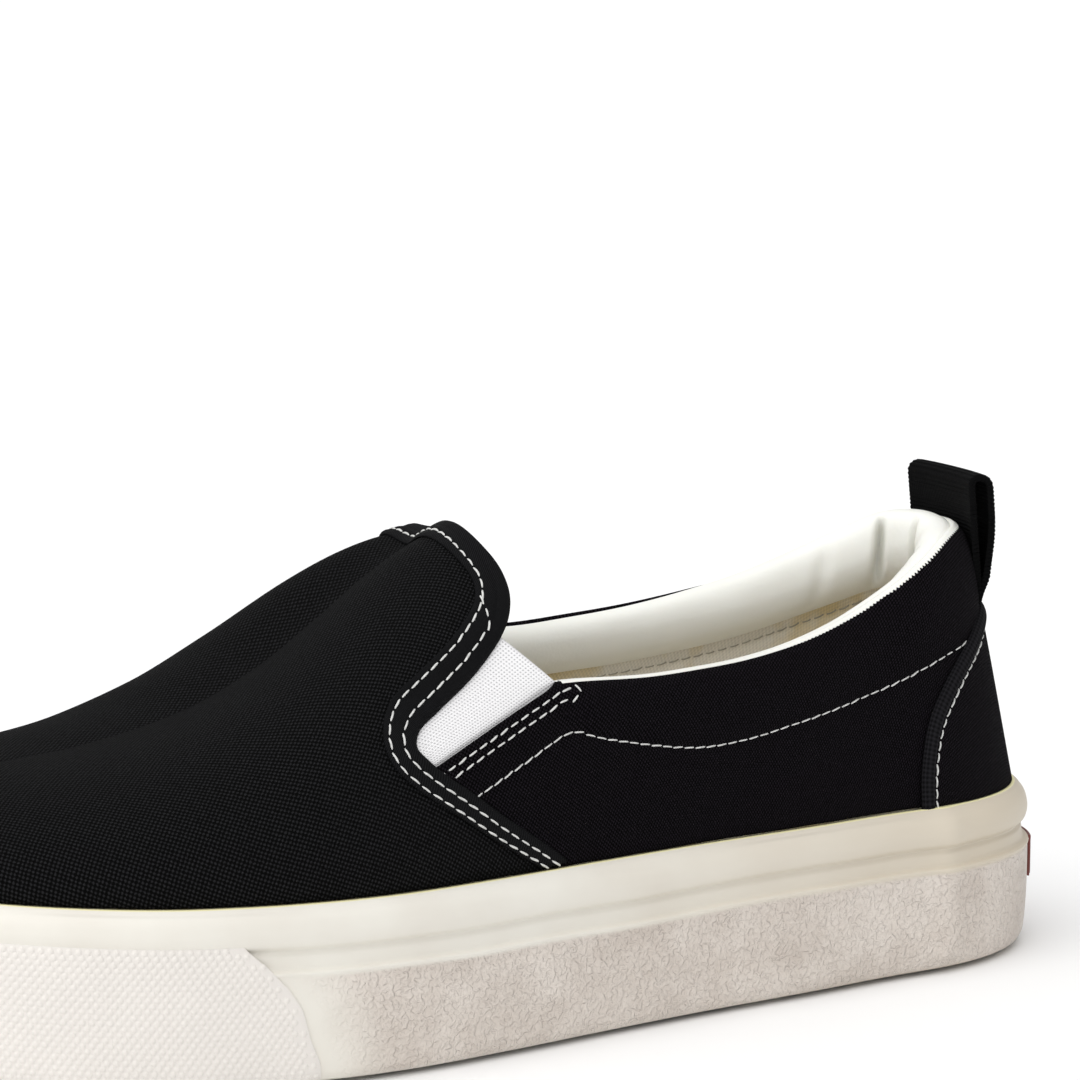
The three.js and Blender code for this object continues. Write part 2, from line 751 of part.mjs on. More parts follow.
const shoe = new THREE.Group();
shoe.name = "sneaker";
shoe.add(
  finished("outsole", outsole, 0xd9d2c4, 0.75),
  finished("sidewall", sidewall, 0xe8e4da, 0.55),
  finished("toe_bumper", bumper, 0xe6e0db, 0.6),
  finished("heel_label", label, 0x7c3a30, 0.6),
  finished("insole", insole, 0xe9e2d0, 0.9),
  finished("upper", upper, 0x141416, 0.95),
  finished("gore_lateral", goreLateral, 0xe5e3e4, 0.85),
  finished("gore_medial", goreMedial, 0xe5e3e4, 0.85),
  finished("vamp_binding", binding, 0x151517, 0.9),
  finished("heel_counter", counter, 0x131315, 0.95),
  finished("collar_lining", lining, 0xedede6, 0.6),
  finished("pull_loop", loop, 0x141416, 0.9),
);

// The shoe stands on z = 0 with its box centred on the origin.
const box = new THREE.Box3().setFromObject(shoe);
const centre = box.getCenter(new THREE.Vector3());
for (const mesh of shoe.children) {
  mesh.geometry.translate(-centre.x, -centre.y, -box.min.z);
}

export default shoe;
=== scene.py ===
import math

import bmesh
import bpy
import numpy as np
from mathutils import Matrix, Vector


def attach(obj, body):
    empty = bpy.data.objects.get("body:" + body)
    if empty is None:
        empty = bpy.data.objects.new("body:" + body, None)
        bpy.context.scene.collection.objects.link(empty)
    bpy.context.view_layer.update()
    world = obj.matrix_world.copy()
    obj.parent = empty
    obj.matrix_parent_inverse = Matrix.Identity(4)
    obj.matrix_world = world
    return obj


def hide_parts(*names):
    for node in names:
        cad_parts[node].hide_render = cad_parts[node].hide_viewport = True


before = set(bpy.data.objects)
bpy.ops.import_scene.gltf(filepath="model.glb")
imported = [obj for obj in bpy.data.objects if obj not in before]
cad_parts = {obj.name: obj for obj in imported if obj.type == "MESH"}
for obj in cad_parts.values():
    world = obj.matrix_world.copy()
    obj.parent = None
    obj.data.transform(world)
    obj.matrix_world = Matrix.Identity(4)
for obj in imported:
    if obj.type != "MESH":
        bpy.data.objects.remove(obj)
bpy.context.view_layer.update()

# The picture: one shoe on a pale floor under a broad soft light, seen from its outer side a little
# ahead of the middle and a little above, with a long lens. The toe runs out of the frame on the left.
CAMERA_PLACE = (0.42764, 0.82399, 0.25355)
CAMERA_YAW = math.radians(28.86)
CAMERA_PITCH = math.radians(9.55)
CAMERA_ROLL = math.radians(1.04)
FOCAL_PIXELS = 4528
FRAME_PIXELS = 1080
FLOOR_REACH = 14
SKY_STRENGTH = 0.7
SKY_TILT = 0.27
KEY_STRENGTH = 1.6
KEY_SOFTNESS = math.radians(75)
KEY_FROM = Vector((0.8, 0.5, 1.5))

camera = bpy.data.objects.new("camera", bpy.data.cameras.new("camera"))
bpy.context.scene.collection.objects.link(camera)
toward = Vector((math.sin(CAMERA_YAW), math.cos(CAMERA_YAW), 0))
forward = -(toward * math.cos(CAMERA_PITCH) + Vector((0, 0, 1)) * math.sin(CAMERA_PITCH))
right = Vector((-math.cos(CAMERA_YAW), math.sin(CAMERA_YAW), 0))
above = right.cross(forward)
rolled_right = right * math.cos(CAMERA_ROLL) + above * math.sin(CAMERA_ROLL)
rolled_above = above * math.cos(CAMERA_ROLL) - right * math.sin(CAMERA_ROLL)
turn = Matrix((rolled_right, rolled_above, -forward)).transposed().to_4x4()
camera.matrix_world = Matrix.Translation(CAMERA_PLACE) @ turn
camera.data.sensor_width = 36
camera.data.lens = 36 * FOCAL_PIXELS / FRAME_PIXELS
camera.data.clip_end = 100
bpy.context.scene.camera = camera
bpy.context.scene.view_settings.view_transform = "Standard"


def to_linear(code):
    """sRGB hex to a linear colour."""
    channels = [int(code[i : i + 2], 16) / 255 for i in (1, 3, 5)]
    return [c / 12.92 if c <= 0.04045 else ((c + 0.055) / 1.055) ** 2.4 for c in channels] + [1]


def add(tree, kind, inputs=None, **settings):
    """Adds a node with its settings; an input takes a value or another node's output."""
    node = tree.nodes.new(kind)
    for key, value in settings.items():
        setattr(node, key, value)
    for key, value in (inputs or {}).items():
        if isinstance(value, bpy.types.NodeSocket):
            tree.links.new(value, node.inputs[key])
        else:
            node.inputs[key].default_value = value
    return node


def new_finish(name, constants):
    """A new material with its tree and its surface shader, whose constant inputs are set."""
    material = bpy.data.materials.new(name)
    material.use_nodes = True
    shader = material.node_tree.nodes["Principled BSDF"]
    for key, value in constants.items():
        shader.inputs[key].default_value = value
    return material, material.node_tree, shader


sky = bpy.data.worlds.new("sky")
sky.use_nodes = True
sky.node_tree.nodes["Background"].inputs["Color"].default_value = (1, 1, 1, 1)
around = add(sky.node_tree, "ShaderNodeTexCoord").outputs["Generated"]
way = add(sky.node_tree, "ShaderNodeSeparateXYZ", {0: around})
glow = add(
    sky.node_tree,
    "ShaderNodeMapRange",
    {
        "Value": way.outputs["X"],
        "From Min": -1.0,
        "To Min": SKY_STRENGTH - SKY_TILT,
        "To Max": SKY_STRENGTH + SKY_TILT,
    },
)
sky.node_tree.links.new(glow.outputs[0], sky.node_tree.nodes["Background"].inputs["Strength"])
bpy.context.scene.world = sky

key = bpy.data.objects.new("key_light", bpy.data.lights.new("key_light", "SUN"))
bpy.context.scene.collection.objects.link(key)
key.data.energy = KEY_STRENGTH
key.data.angle = KEY_SOFTNESS
key.rotation_euler = KEY_FROM.to_track_quat("Z", "Y").to_euler()

# Seamless studio paper: matt, nearly white.
paper, tree, shader = new_finish("matt_studio_paper", {"Roughness": 1})
mottle = add(tree, "ShaderNodeTexNoise", {"Scale": 3.0, "Detail": 2.0})
mix = add(tree, "ShaderNodeMix", {"Factor": mottle.outputs["Fac"]}, data_type="RGBA")
mix.inputs["A"].default_value = to_linear("#FBFBFB")
mix.inputs["B"].default_value = to_linear("#FDFDFD")
tree.links.new(mix.outputs["Result"], shader.inputs["Base Color"])
floor_mesh = bpy.data.meshes.new("floor")
r = FLOOR_REACH
floor_mesh.from_pydata([(-r, -r, 0), (r, -r, 0), (r, r, 0), (-r, r, 0)], [], [(0, 1, 2, 3)])
floor_mesh.materials.append(paper)
floor = bpy.data.objects.new("floor", floor_mesh)
bpy.context.scene.collection.objects.link(floor)

# Sidewall: a cream vulcanised rubber tape round the whole shoe, with a soft upper rib, a groove, a
# flat strip and a wide lower band that is pressed with a fine wrinkled grain.
# All sizes are millimetres, x from the heel's back to the toe, y to the outer side, z from the floor.
SOLE_LENGTH = 294.0
BALL_WIDTH = 110.0
SIDEWALL_HEIGHT = 36.5
SIDEWALL_LIP = 4.5
SIDEWALL_RELIEF = 3.4
TOE_SPRING = 6.0
SPRING_START = 0.6
FRAME_ORIGIN = np.array([147.161, 0.064, 0.0])
# Share of the length, then lateral, medial and centre-shift shares of half the ball width.
OUTLINE = [
    (0.0, 0.65, 0.65, 0),
    (0.08, 0.65, 0.65, 0),
    (0.16, 0.66, 0.66, 0),
    (0.25, 0.73, 0.67, 0),
    (0.35, 0.8, 0.67, 0),
    (0.44, 0.88, 0.69, 0),
    (0.52, 0.957, 0.756, 0),
    (0.6, 1.026, 0.864, -0.01),
    (0.68, 1.04, 0.957, -0.02),
    (0.76, 1.01, 0.987, -0.03),
    (0.84, 0.962, 0.977, -0.05),
    (0.92, 0.923, 0.962, -0.07),
    (1.0, 0.884, 0.942, -0.09),
]
HEEL_ROUND = 0.158
HEEL_SQUARENESS = 2.1
TOE_ROUND = 0.25
TOE_SQUARENESS = 2.15
# Height share, distance out from the outline as a share of the relief.
RIBS = [
    (0.03, -0.68),
    (0.04, -0.46),
    (0.055, -0.31),
    (0.09, -0.14),
    (0.14, -0.07),
    (0.25, 0.0),
    (0.38, 0.03),
    (0.5, 0.02),
    (0.6, 0.0),
    (0.625, 0.0),
    (0.636, 0.05),
    (0.647, 0.05),
    (0.655, -0.06),
    (0.662, -0.26),
    (0.672, -0.36),
    (0.7, -0.41),
    (0.73, -0.46),
    (0.75, -0.58),
    (0.762, -0.58),
    (0.774, -0.42),
    (0.79, -0.25),
    (0.82, -0.13),
    (0.855, -0.09),
    (0.89, -0.14),
    (0.925, -0.25),
    (0.955, -0.44),
    (0.985, -0.78),
    (1.0, -1.02),
]
BUMPER_END = [
    (-0.1, 0.67),
    (0.15, 0.675),
    (0.28, 0.682),
    (0.45, 0.688),
    (0.56, 0.697),
    (0.68, 0.711),
    (0.8, 0.728),
]
SIDE_STATIONS = 300
RIB_STEPS = 3
KINK_AT = 37.0
KINK_WIDTH = 3.8
KINK_DEPTH = 0.8
WOBBLE = 0.14
RIB_UNEVEN = 0.35
BAND_TOP = 0.632
GRAIN_SIZE = 1.15
GRAIN_HEIGHT = 0.32
GRAIN_FADE = 14


def bumper_end(h):
    """Share of the length at which the bumper ends, at height share h."""
    return np.interp(h, [row[0] for row in BUMPER_END], [row[1] for row in BUMPER_END])


def cubic(u, a, leaving, b, arriving):
    """Cubic from a to b at share u, with its slopes at both ends."""
    start = (2 * u**3 - 3 * u**2 + 1) * a + (u**3 - 2 * u**2 + u) * leaving
    return start + (3 * u**2 - 2 * u**3) * b + (u**3 - u**2) * arriving


def table_at(table, column, at):
    """Cubic curve through a table's rows; column 0 is the parameter."""
    rows = np.asarray(table, float)
    knots, values = rows[:, 0], rows[:, column]
    last = len(knots) - 1
    here = np.arange(last + 1)
    low, high = np.maximum(here - 1, 0), np.minimum(here + 1, last)
    slopes = (values[high] - values[low]) / (knots[high] - knots[low])
    t = np.clip(at, knots[0], knots[-1])
    i = np.clip(np.searchsorted(knots, t) - 1, 0, last - 1)
    h = knots[i + 1] - knots[i]
    u = (t - knots[i]) / h
    return cubic(u, values[i], h * slopes[i], values[i + 1], h * slopes[i + 1])


def lift(x):
    along = np.maximum((x / SOLE_LENGTH - SPRING_START) / (1 - SPRING_START), 0)
    return TOE_SPRING * along**2


def outline_raw(tau, side):
    """Sole outline at station tau, 0 at the heel's back and 1 at the toe; side 1 lateral, -1 medial."""
    side = np.where((tau < 0) | (tau > 1), -side, side)
    tau = np.where(tau < 0, -tau, np.where(tau > 1, 2 - tau, tau))
    t = (1 - np.cos(np.pi * tau)) / 2
    heel = np.clip((HEEL_ROUND - t) / HEEL_ROUND, 0, 1)
    toe = np.clip((t - 1 + TOE_ROUND) / TOE_ROUND, 0, 1)
    heel_round = (1 - heel**HEEL_SQUARENESS) ** (1 / HEEL_SQUARENESS)
    toe_round = (1 - toe**TOE_SQUARENESS) ** (1 / TOE_SQUARENESS)
    share = np.where(side > 0, table_at(OUTLINE, 1, t), table_at(OUTLINE, 2, t))
    half = share * (BALL_WIDTH / 2) * heel_round * toe_round
    shift = table_at(OUTLINE, 3, t) * (BALL_WIDTH / 2)
    return t * SOLE_LENGTH, shift + side * half


def outline(tau, side, out):
    """The outline moved out along its own normal: x, y, normal x, normal y and share of the length."""
    step = 1e-3
    x, y = outline_raw(tau, side)
    before = outline_raw(tau - step, side)
    after = outline_raw(tau + step, side)
    dx, dy = after[0] - before[0], after[1] - before[1]
    length = np.hypot(dx, dy)
    nx, ny = -dy / length * side, dx / length * side
    return x + nx * out, y + ny * out, nx, ny, x / SOLE_LENGTH


def sole_point(tau, side, out, z):
    """Point on the sole's side at a height, lifted with the toe spring."""
    tau, side, out, z = np.broadcast_arrays(tau, side, out, z)
    x, y, _, _, t = outline(tau, side, out)
    return np.stack([x, y, z + lift(t * SOLE_LENGTH)], -1)


def grid_faces(rows, columns, around=False, over=False):
    """Quads of a grid of points; around joins its last column to its first, over its last row."""
    r = np.arange(rows if over else rows - 1)[:, None]
    c = np.arange(columns if around else columns - 1)[None, :]
    below, beside = (r + 1) % rows, (c + 1) % columns
    corners = [r * columns + c, r * columns + beside, below * columns + beside, below * columns + c]
    return np.stack([np.broadcast_to(k, corners[0].shape) for k in corners], -1).reshape(-1, 4)


def make(name, points, faces, material, cloth=None, closed=False):
    """A smooth mesh in the part's frame from points in millimetres, welded, with its faces outward."""
    mesh = bpy.data.meshes.new(name)
    places = (np.asarray(points, float).reshape(-1, 3) - FRAME_ORIGIN) / 1000
    mesh.from_pydata(places.tolist(), [], [list(map(int, face)) for face in faces])
    if cloth is not None:
        layer = mesh.uv_layers.new(name="cloth")
        corners = np.empty(len(mesh.loops), np.int32)
        mesh.loops.foreach_get("vertex_index", corners)
        layer.data.foreach_set("uv", np.asarray(cloth, float).reshape(-1, 2)[corners].ravel())
    shape = bmesh.new()
    shape.from_mesh(mesh)
    bmesh.ops.remove_doubles(shape, verts=shape.verts, dist=2e-6)
    bmesh.ops.dissolve_degenerate(shape, edges=shape.edges, dist=1e-7)
    if closed:
        bmesh.ops.recalc_face_normals(shape, faces=shape.faces)
    else:
        middle = Vector((0, 0, 0.035))
        lean = sum(f.normal.dot(f.calc_center_median() - middle) * f.calc_area() for f in shape.faces)
        if lean < 0:
            bmesh.ops.reverse_faces(shape, faces=shape.faces)
    shape.to_mesh(mesh)
    shape.free()
    mesh.shade_smooth()
    mesh.materials.append(material)
    piece = bpy.data.objects.new(name, mesh)
    bpy.context.scene.collection.objects.link(piece)
    return piece


def settle(piece, slot, *nodes):
    """Fixes a finished piece to the shoe and hides the CAD nodes it stands for."""
    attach(piece, "root")
    if nodes:
        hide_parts(*nodes)


def round_stations(count):
    """Stations once round the shoe: lateral side to the toe, then medial side back."""
    tau = np.concatenate([np.linspace(0, 1, count + 1), np.linspace(1, 0, count + 1)[1:-1]])
    side = np.concatenate([np.ones(count + 1), -np.ones(count - 1)])
    return tau, side


def ripple(along, seed, waves=5, longest=160.0):
    """Smooth, fixed unevenness along a length in millimetres, about -1 to 1."""
    draw = np.random.default_rng(seed)
    total = np.zeros_like(np.asarray(along, float))
    for k in range(1, waves + 1):
        total += np.sin(2 * np.pi * (np.asarray(along) * k / longest + draw.random())) / k
    return total / 1.6


# Vulcanised rubber: satin, slightly uneven cream; the grain's short strokes catch the light through their
# relief and also carry a painted highlight on their crests.
rubber, tree, shader = new_finish("cream_vulcanised_rubber", {"Roughness": 0.46, "IOR": 1.52})
place = add(tree, "ShaderNodeTexCoord").outputs["Object"]
mottle = add(tree, "ShaderNodeTexNoise", {"Vector": place, "Scale": 45.0, "Detail": 3.0})
tone = add(tree, "ShaderNodeValToRGB", {"Fac": mottle.outputs["Fac"]})
tone.color_ramp.elements[0].position = 0.3
tone.color_ramp.elements[0].color = to_linear("#DFDAD0")
tone.color_ramp.elements[1].position = 0.72
tone.color_ramp.elements[1].color = to_linear("#E8E5DC")
band = add(tree, "ShaderNodeAttribute", attribute_name="grain").outputs["Fac"]
wrinkles = {"Vector": place, "Scale": 1000 / GRAIN_SIZE, "Detail": 0.5, "Distortion": 0.9}
folds = add(tree, "ShaderNodeTexNoise", wrinkles).outputs["Fac"]
short = add(tree, "ShaderNodeMapRange", {"Value": folds, "From Min": 0.32, "From Max": 0.68})
masked = add(tree, "ShaderNodeMath", {0: short.outputs[0], 1: band}, operation="MULTIPLY")
# The rubber is painted darker and warmer toward the heel: painted shade where the light falls off along
# the shoe.
parts = add(tree, "ShaderNodeSeparateXYZ", {0: place})
heel_shade_range = {"Value": parts.outputs["X"], "From Min": 0.0, "From Max": -0.12, "To Max": 0.85}
heel_shade = add(tree, "ShaderNodeMapRange", heel_shade_range).outputs[0]
heel_shaded_tone = add(tree, "ShaderNodeMix", {"Factor": heel_shade}, data_type="RGBA")
tree.links.new(tone.outputs["Color"], heel_shaded_tone.inputs["A"])
heel_shaded_tone.inputs["B"].default_value = to_linear("#CBBFAB")
clouds = {"Vector": place, "Scale": 70.0, "Detail": 2.0, "Roughness": 0.6}
cloud = add(tree, "ShaderNodeTexNoise", clouds).outputs["Fac"]
clouded = {"Value": cloud, "From Min": 0.32, "From Max": 0.68, "To Max": 0.85}
cloudy = add(tree, "ShaderNodeMapRange", clouded)
# Painted highlight and shade: the grained band is coloured lighter on the grain's crests and darker
# between them, mixed with a cloudy random tone.
painted_highlight_and_clouds = add(tree, "ShaderNodeMath", {0: short.outputs[0], 1: 0.2, 2: cloudy.outputs[0]})
painted_highlight_and_clouds.operation = "MULTIPLY_ADD"
band_tone_painted_highlight = add(tree, "ShaderNodeMix", {"Factor": painted_highlight_and_clouds.outputs[0]}, data_type="RGBA")
band_tone_painted_highlight.inputs["A"].default_value = to_linear("#C7BCB2")
band_tone_painted_highlight.inputs["B"].default_value = to_linear("#DBD2C9")
band_with_painted_light = add(tree, "ShaderNodeMix", {"Factor": band}, data_type="RGBA")
tree.links.new(heel_shaded_tone.outputs["Result"], band_with_painted_light.inputs["A"])
tree.links.new(band_tone_painted_highlight.outputs["Result"], band_with_painted_light.inputs["B"])
seam = add(tree, "ShaderNodeAttribute", attribute_name="glue").outputs["Fac"]
glued = add(tree, "ShaderNodeMix", {"Factor": seam}, data_type="RGBA")
tree.links.new(band_with_painted_light.outputs["Result"], glued.inputs["A"])
glued.inputs["B"].default_value = to_linear("#F3ECB8")
tree.links.new(glued.outputs["Result"], shader.inputs["Base Color"])
soft = add(tree, "ShaderNodeTexNoise", {"Vector": place, "Scale": 320.0, "Detail": 2.0})
faint = add(tree, "ShaderNodeMath", {0: soft.outputs["Fac"], 1: 0.1}, operation="MULTIPLY")
height = add(tree, "ShaderNodeMath", {0: masked.outputs[0], 1: faint.outputs[0]}, operation="ADD")
raised = {"Height": height.outputs[0], "Distance": GRAIN_HEIGHT / 1000, "Strength": 1.0}
bump = add(tree, "ShaderNodeBump", raised)
tree.links.new(bump.outputs["Normal"], shader.inputs["Normal"])

tau, side = round_stations(SIDE_STATIONS)
heights = np.concatenate(
    [np.linspace(a[0], b[0], RIB_STEPS, endpoint=False) for a, b in zip(RIBS, RIBS[1:])] + [[1.0]]
)
xs = outline_raw(tau, side)[0]
wave = ripple(xs * side, 4)
kink = KINK_DEPTH * np.exp(-(((xs - KINK_AT) / KINK_WIDTH) ** 2))
rows = []
grain = []
for h in heights:
    upper_share = np.clip((h - 0.6) / 0.15, 0, 1)
    out = table_at(RIBS, 1, h) * SIDEWALL_RELIEF + kink * (h > 0.1) + WOBBLE * wave * upper_share
    uneven = RIB_UNEVEN * ripple(xs * side, 9) * np.clip((h - 0.52) / 0.1, 0, 1)
    z = h * SIDEWALL_HEIGHT + uneven * (h < 0.97)
    rows.append(sole_point(tau, side, out, z))
    fade = np.clip((bumper_end(h) * SOLE_LENGTH - 2 - xs) / GRAIN_FADE, 0, 1)
    grain.append(fade * np.clip((h - 0.02) / 0.04, 0, 1) * np.clip((BAND_TOP - h) / 0.02, 0, 1))
inner = [(-SIDEWALL_LIP + 0.4, 1.0), (-SIDEWALL_LIP, 0.99), (-SIDEWALL_LIP, 0.5), (-SIDEWALL_LIP, 0.03)]
for out, h in inner:
    rows.append(sole_point(tau, side, out, h * SIDEWALL_HEIGHT))
    grain.append(np.zeros_like(xs))
sidewall = make(
    "rubber_sidewall",
    rows,
    grid_faces(len(rows), len(tau), around=True, over=True),
    rubber,
    closed=True,
)
mask = sidewall.data.attributes.new("grain", "FLOAT", "POINT")
mask.data.foreach_set("value", np.concatenate(grain))
glue = np.zeros((len(rows), len(tau)))
glue[len(heights) - 1 : len(heights) + 2] = 1
mask = sidewall.data.attributes.new("glue", "FLOAT", "POINT")
mask.data.foreach_set("value", glue.ravel())
settle(sidewall, "sidewall_rubber", "sidewall")

# Outsole: the moulded rubber slab under the foot with its cross bars. It is matt and a little
# darker than the sidewall, with dust in its pores.


def press(tree, shader, shade, dark, light, height, depth, strength):
    """Gives a finish its colour, from dark to light by a shade, and its relief, in millimetres."""
    ramp = add(tree, "ShaderNodeValToRGB", {"Fac": shade})
    for stop, (place, colour) in zip(ramp.color_ramp.elements, (dark, light)):
        stop.position = place
        stop.color = to_linear(colour)
    tree.links.new(ramp.outputs["Color"], shader.inputs["Base Color"])
    bump = add(tree, "ShaderNodeBump", {"Height": height, "Distance": depth / 1000, "Strength": strength})
    tree.links.new(bump.outputs["Normal"], shader.inputs["Normal"])


sole_rubber, tree, shader = new_finish("matt_moulded_sole_rubber", {"Roughness": 0.78})
place = add(tree, "ShaderNodeTexCoord").outputs["Object"]
dust = add(tree, "ShaderNodeTexNoise", {"Vector": place, "Scale": 140.0, "Detail": 4.0}).outputs["Fac"]
press(tree, shader, dust, (0.35, "#BDB2A0"), (0.7, "#CFC6B6"), dust, 0.2, 0.5)
for place_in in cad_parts["outsole"].material_slots:
    place_in.material = sole_rubber

# Toe bumper: a thin strip of the same rubber round the toe, covered with small staggered knobs
# that are moulded on it.
BUMPER_LOW = 0.05
BUMPER_HIGH = 0.822
BUMPER_LIFT = 0.36
# Height share, distance out from the outline as a share of the sidewall's relief.
BUMPER_BULGE = [
    (0.0, -0.6),
    (0.05, -0.31),
    (0.09, -0.14),
    (0.14, -0.07),
    (0.25, 0.0),
    (0.4, 0.04),
    (0.6, 0.01),
    (0.7, -0.06),
    (0.76, -0.14),
    (0.8, -0.24),
    (0.85, -0.4),
]
KNOB_PITCH = 1.8
KNOB_ROW = 1.14
KNOB_RADIUS = 0.76
KNOB_HEIGHT = 0.2
KNOB_CROWN = 0.36
KNOB_SIDES = 6
KNOB_LINE_POINTS = 1500
BUMPER_SHEET = 0.6
BUMPER_EDGE = 0.18
BUMPER_STATIONS = 240
BUMPER_ROWS = 44


def bumper_taus(h, count):
    """Stations of the bumper's row at height share h, from its lateral end round the toe."""
    tau_end = np.arccos(1 - 2 * bumper_end(h)) / np.pi
    across = np.linspace(-1, 1, count)
    return 1 - np.abs(across) * (1 - tau_end), np.where(across < 0, 1, -1)


def run_along(points):
    """Distance along a line of points from its first one."""
    return np.concatenate([[0], np.cumsum(np.linalg.norm(np.diff(points, axis=0), axis=1))])


def unit(vectors):
    """The same directions, each of length one."""
    return vectors / np.linalg.norm(vectors, axis=-1)[..., None]


def thicken(piece, thickness, offset=-1):
    """Makes a sheet as thick as its material, inward from its face unless told otherwise."""
    solid = piece.modifiers.new("thickness", "SOLIDIFY")
    solid.thickness = thickness / 1000
    solid.offset = offset


def round_edges(piece, width):
    """Rounds a sheet's cut edges."""
    bevel = piece.modifiers.new("soft_edge", "BEVEL")
    bevel.width = width / 1000
    bevel.segments = 2


def new_scatter(name, sizes, stuff):
    """A node group that takes points or paths, its sizes, a seed and what the copies are made of."""
    group = bpy.data.node_groups.new(name, "GeometryNodeTree")
    sized = [(size, "Float") for size in sizes]
    for label, kind in [("Geometry", "Geometry"), *sized, ("Seed", "Int"), (stuff, "Material")]:
        group.interface.new_socket(label, in_out="INPUT", socket_type="NodeSocket" + kind)
    group.interface.new_socket("Geometry", in_out="OUTPUT", socket_type="NodeSocketGeometry")
    return group, add(group, "NodeGroupInput").outputs


def strew(group, given, spots, shape, rotation, least, most, stuff):
    """Stands a copy of the shape on every spot, each a little different in size, as real mesh."""
    sizes = {2: least, 3: most, "Seed": given["Seed"]}
    size = add(group, "FunctionNodeRandomValue", sizes, data_type="FLOAT").outputs[1]
    copies = {"Points": spots, "Instance": shape, "Rotation": rotation, "Scale": size}
    placed = add(group, "GeometryNodeInstanceOnPoints", copies)
    real = add(group, "GeometryNodeRealizeInstances", {"Geometry": placed.outputs["Instances"]})
    dyed = {"Geometry": real.outputs["Geometry"], "Material": given[stuff]}
    done = add(group, "GeometryNodeSetMaterial", dyed)
    add(group, "NodeGroupOutput", {"Geometry": done.outputs["Geometry"]})


def knob_tree():
    """Geometry nodes that stand a small blunt cone on every point, along the point's own normal."""
    group, given = new_scatter("knobs", ("Radius", "Height"), "Rubber")
    crown = add(group, "ShaderNodeMath", {0: given["Radius"], 1: KNOB_CROWN}, operation="MULTIPLY")
    sizes = {"Radius Top": crown.outputs[0], "Radius Bottom": given["Radius"], "Depth": given["Height"]}
    cone = add(group, "GeometryNodeMeshCone", {"Vertices": KNOB_SIDES, **sizes})
    facing = add(group, "GeometryNodeInputNamedAttribute", {"Name": "face"}, data_type="FLOAT_VECTOR")
    stand = add(group, "FunctionNodeAlignRotationToVector", {"Vector": facing.outputs["Attribute"]})
    turned = stand.outputs["Rotation"]
    strew(group, given, given["Geometry"], cone.outputs["Mesh"], turned, 0.95, 1.04, "Rubber")
    return group


def grow(name, points, edges, facing, group, values, material):
    """Runs a node group over points and edges that carry their facing, and keeps the plain mesh."""
    mesh = bpy.data.meshes.new(name)
    places = (np.asarray(points) - FRAME_ORIGIN) / 1000
    mesh.from_pydata(places.tolist(), [tuple(map(int, edge)) for edge in edges], [])
    stored = mesh.attributes.new("face", "FLOAT_VECTOR", "POINT")
    stored.data.foreach_set("vector", np.asarray(facing, float).ravel())
    carrier = bpy.data.objects.new(name, mesh)
    bpy.context.scene.collection.objects.link(carrier)
    modifier = carrier.modifiers.new(name, "NODES")
    modifier.node_group = group
    wanted = dict(values, **{name_of: material for name_of in ("Rubber", "Thread")})
    for item in group.interface.items_tree:
        if item.in_out == "INPUT" and item.name in wanted:
            modifier[item.identifier] = wanted[item.name]
    seen = carrier.evaluated_get(bpy.context.evaluated_depsgraph_get())
    plain = bpy.data.meshes.new_from_object(seen)
    carrier.modifiers.clear()
    carrier.data = plain
    for attribute in [a.name for a in plain.attributes if a.name == "face"]:
        plain.attributes.remove(plain.attributes[attribute])
    plain.shade_smooth()
    return carrier


# The same rubber, a shade whiter, with the mould's matt skin.
bumper_rubber, tree, shader = new_finish("knobbed_white_rubber", {"Roughness": 0.5, "IOR": 1.52})
place = add(tree, "ShaderNodeTexCoord").outputs["Object"]
mottle = add(tree, "ShaderNodeTexNoise", {"Vector": place, "Scale": 60.0, "Detail": 3.0}).outputs["Fac"]
skin = add(tree, "ShaderNodeTexNoise", {"Vector": place, "Scale": 900.0, "Detail": 2.0}).outputs["Fac"]
press(tree, shader, mottle, (0.3, "#DFDAD4"), (0.7, "#E3DED8"), skin, 0.03, 0.5)

rows = []
for h in np.linspace(BUMPER_LOW, BUMPER_HIGH, BUMPER_ROWS):
    tau, side = bumper_taus(h, BUMPER_STATIONS)
    out = table_at(BUMPER_BULGE, 1, h) * SIDEWALL_RELIEF + BUMPER_LIFT
    rows.append(sole_point(tau, side, out, h * SIDEWALL_HEIGHT))
bumper = make("toe_bumper_strip", rows, grid_faces(BUMPER_ROWS, BUMPER_STATIONS), bumper_rubber)
thicken(bumper, BUMPER_SHEET)
round_edges(bumper, BUMPER_EDGE)
settle(bumper, "bumper_rubber", "toe_bumper")

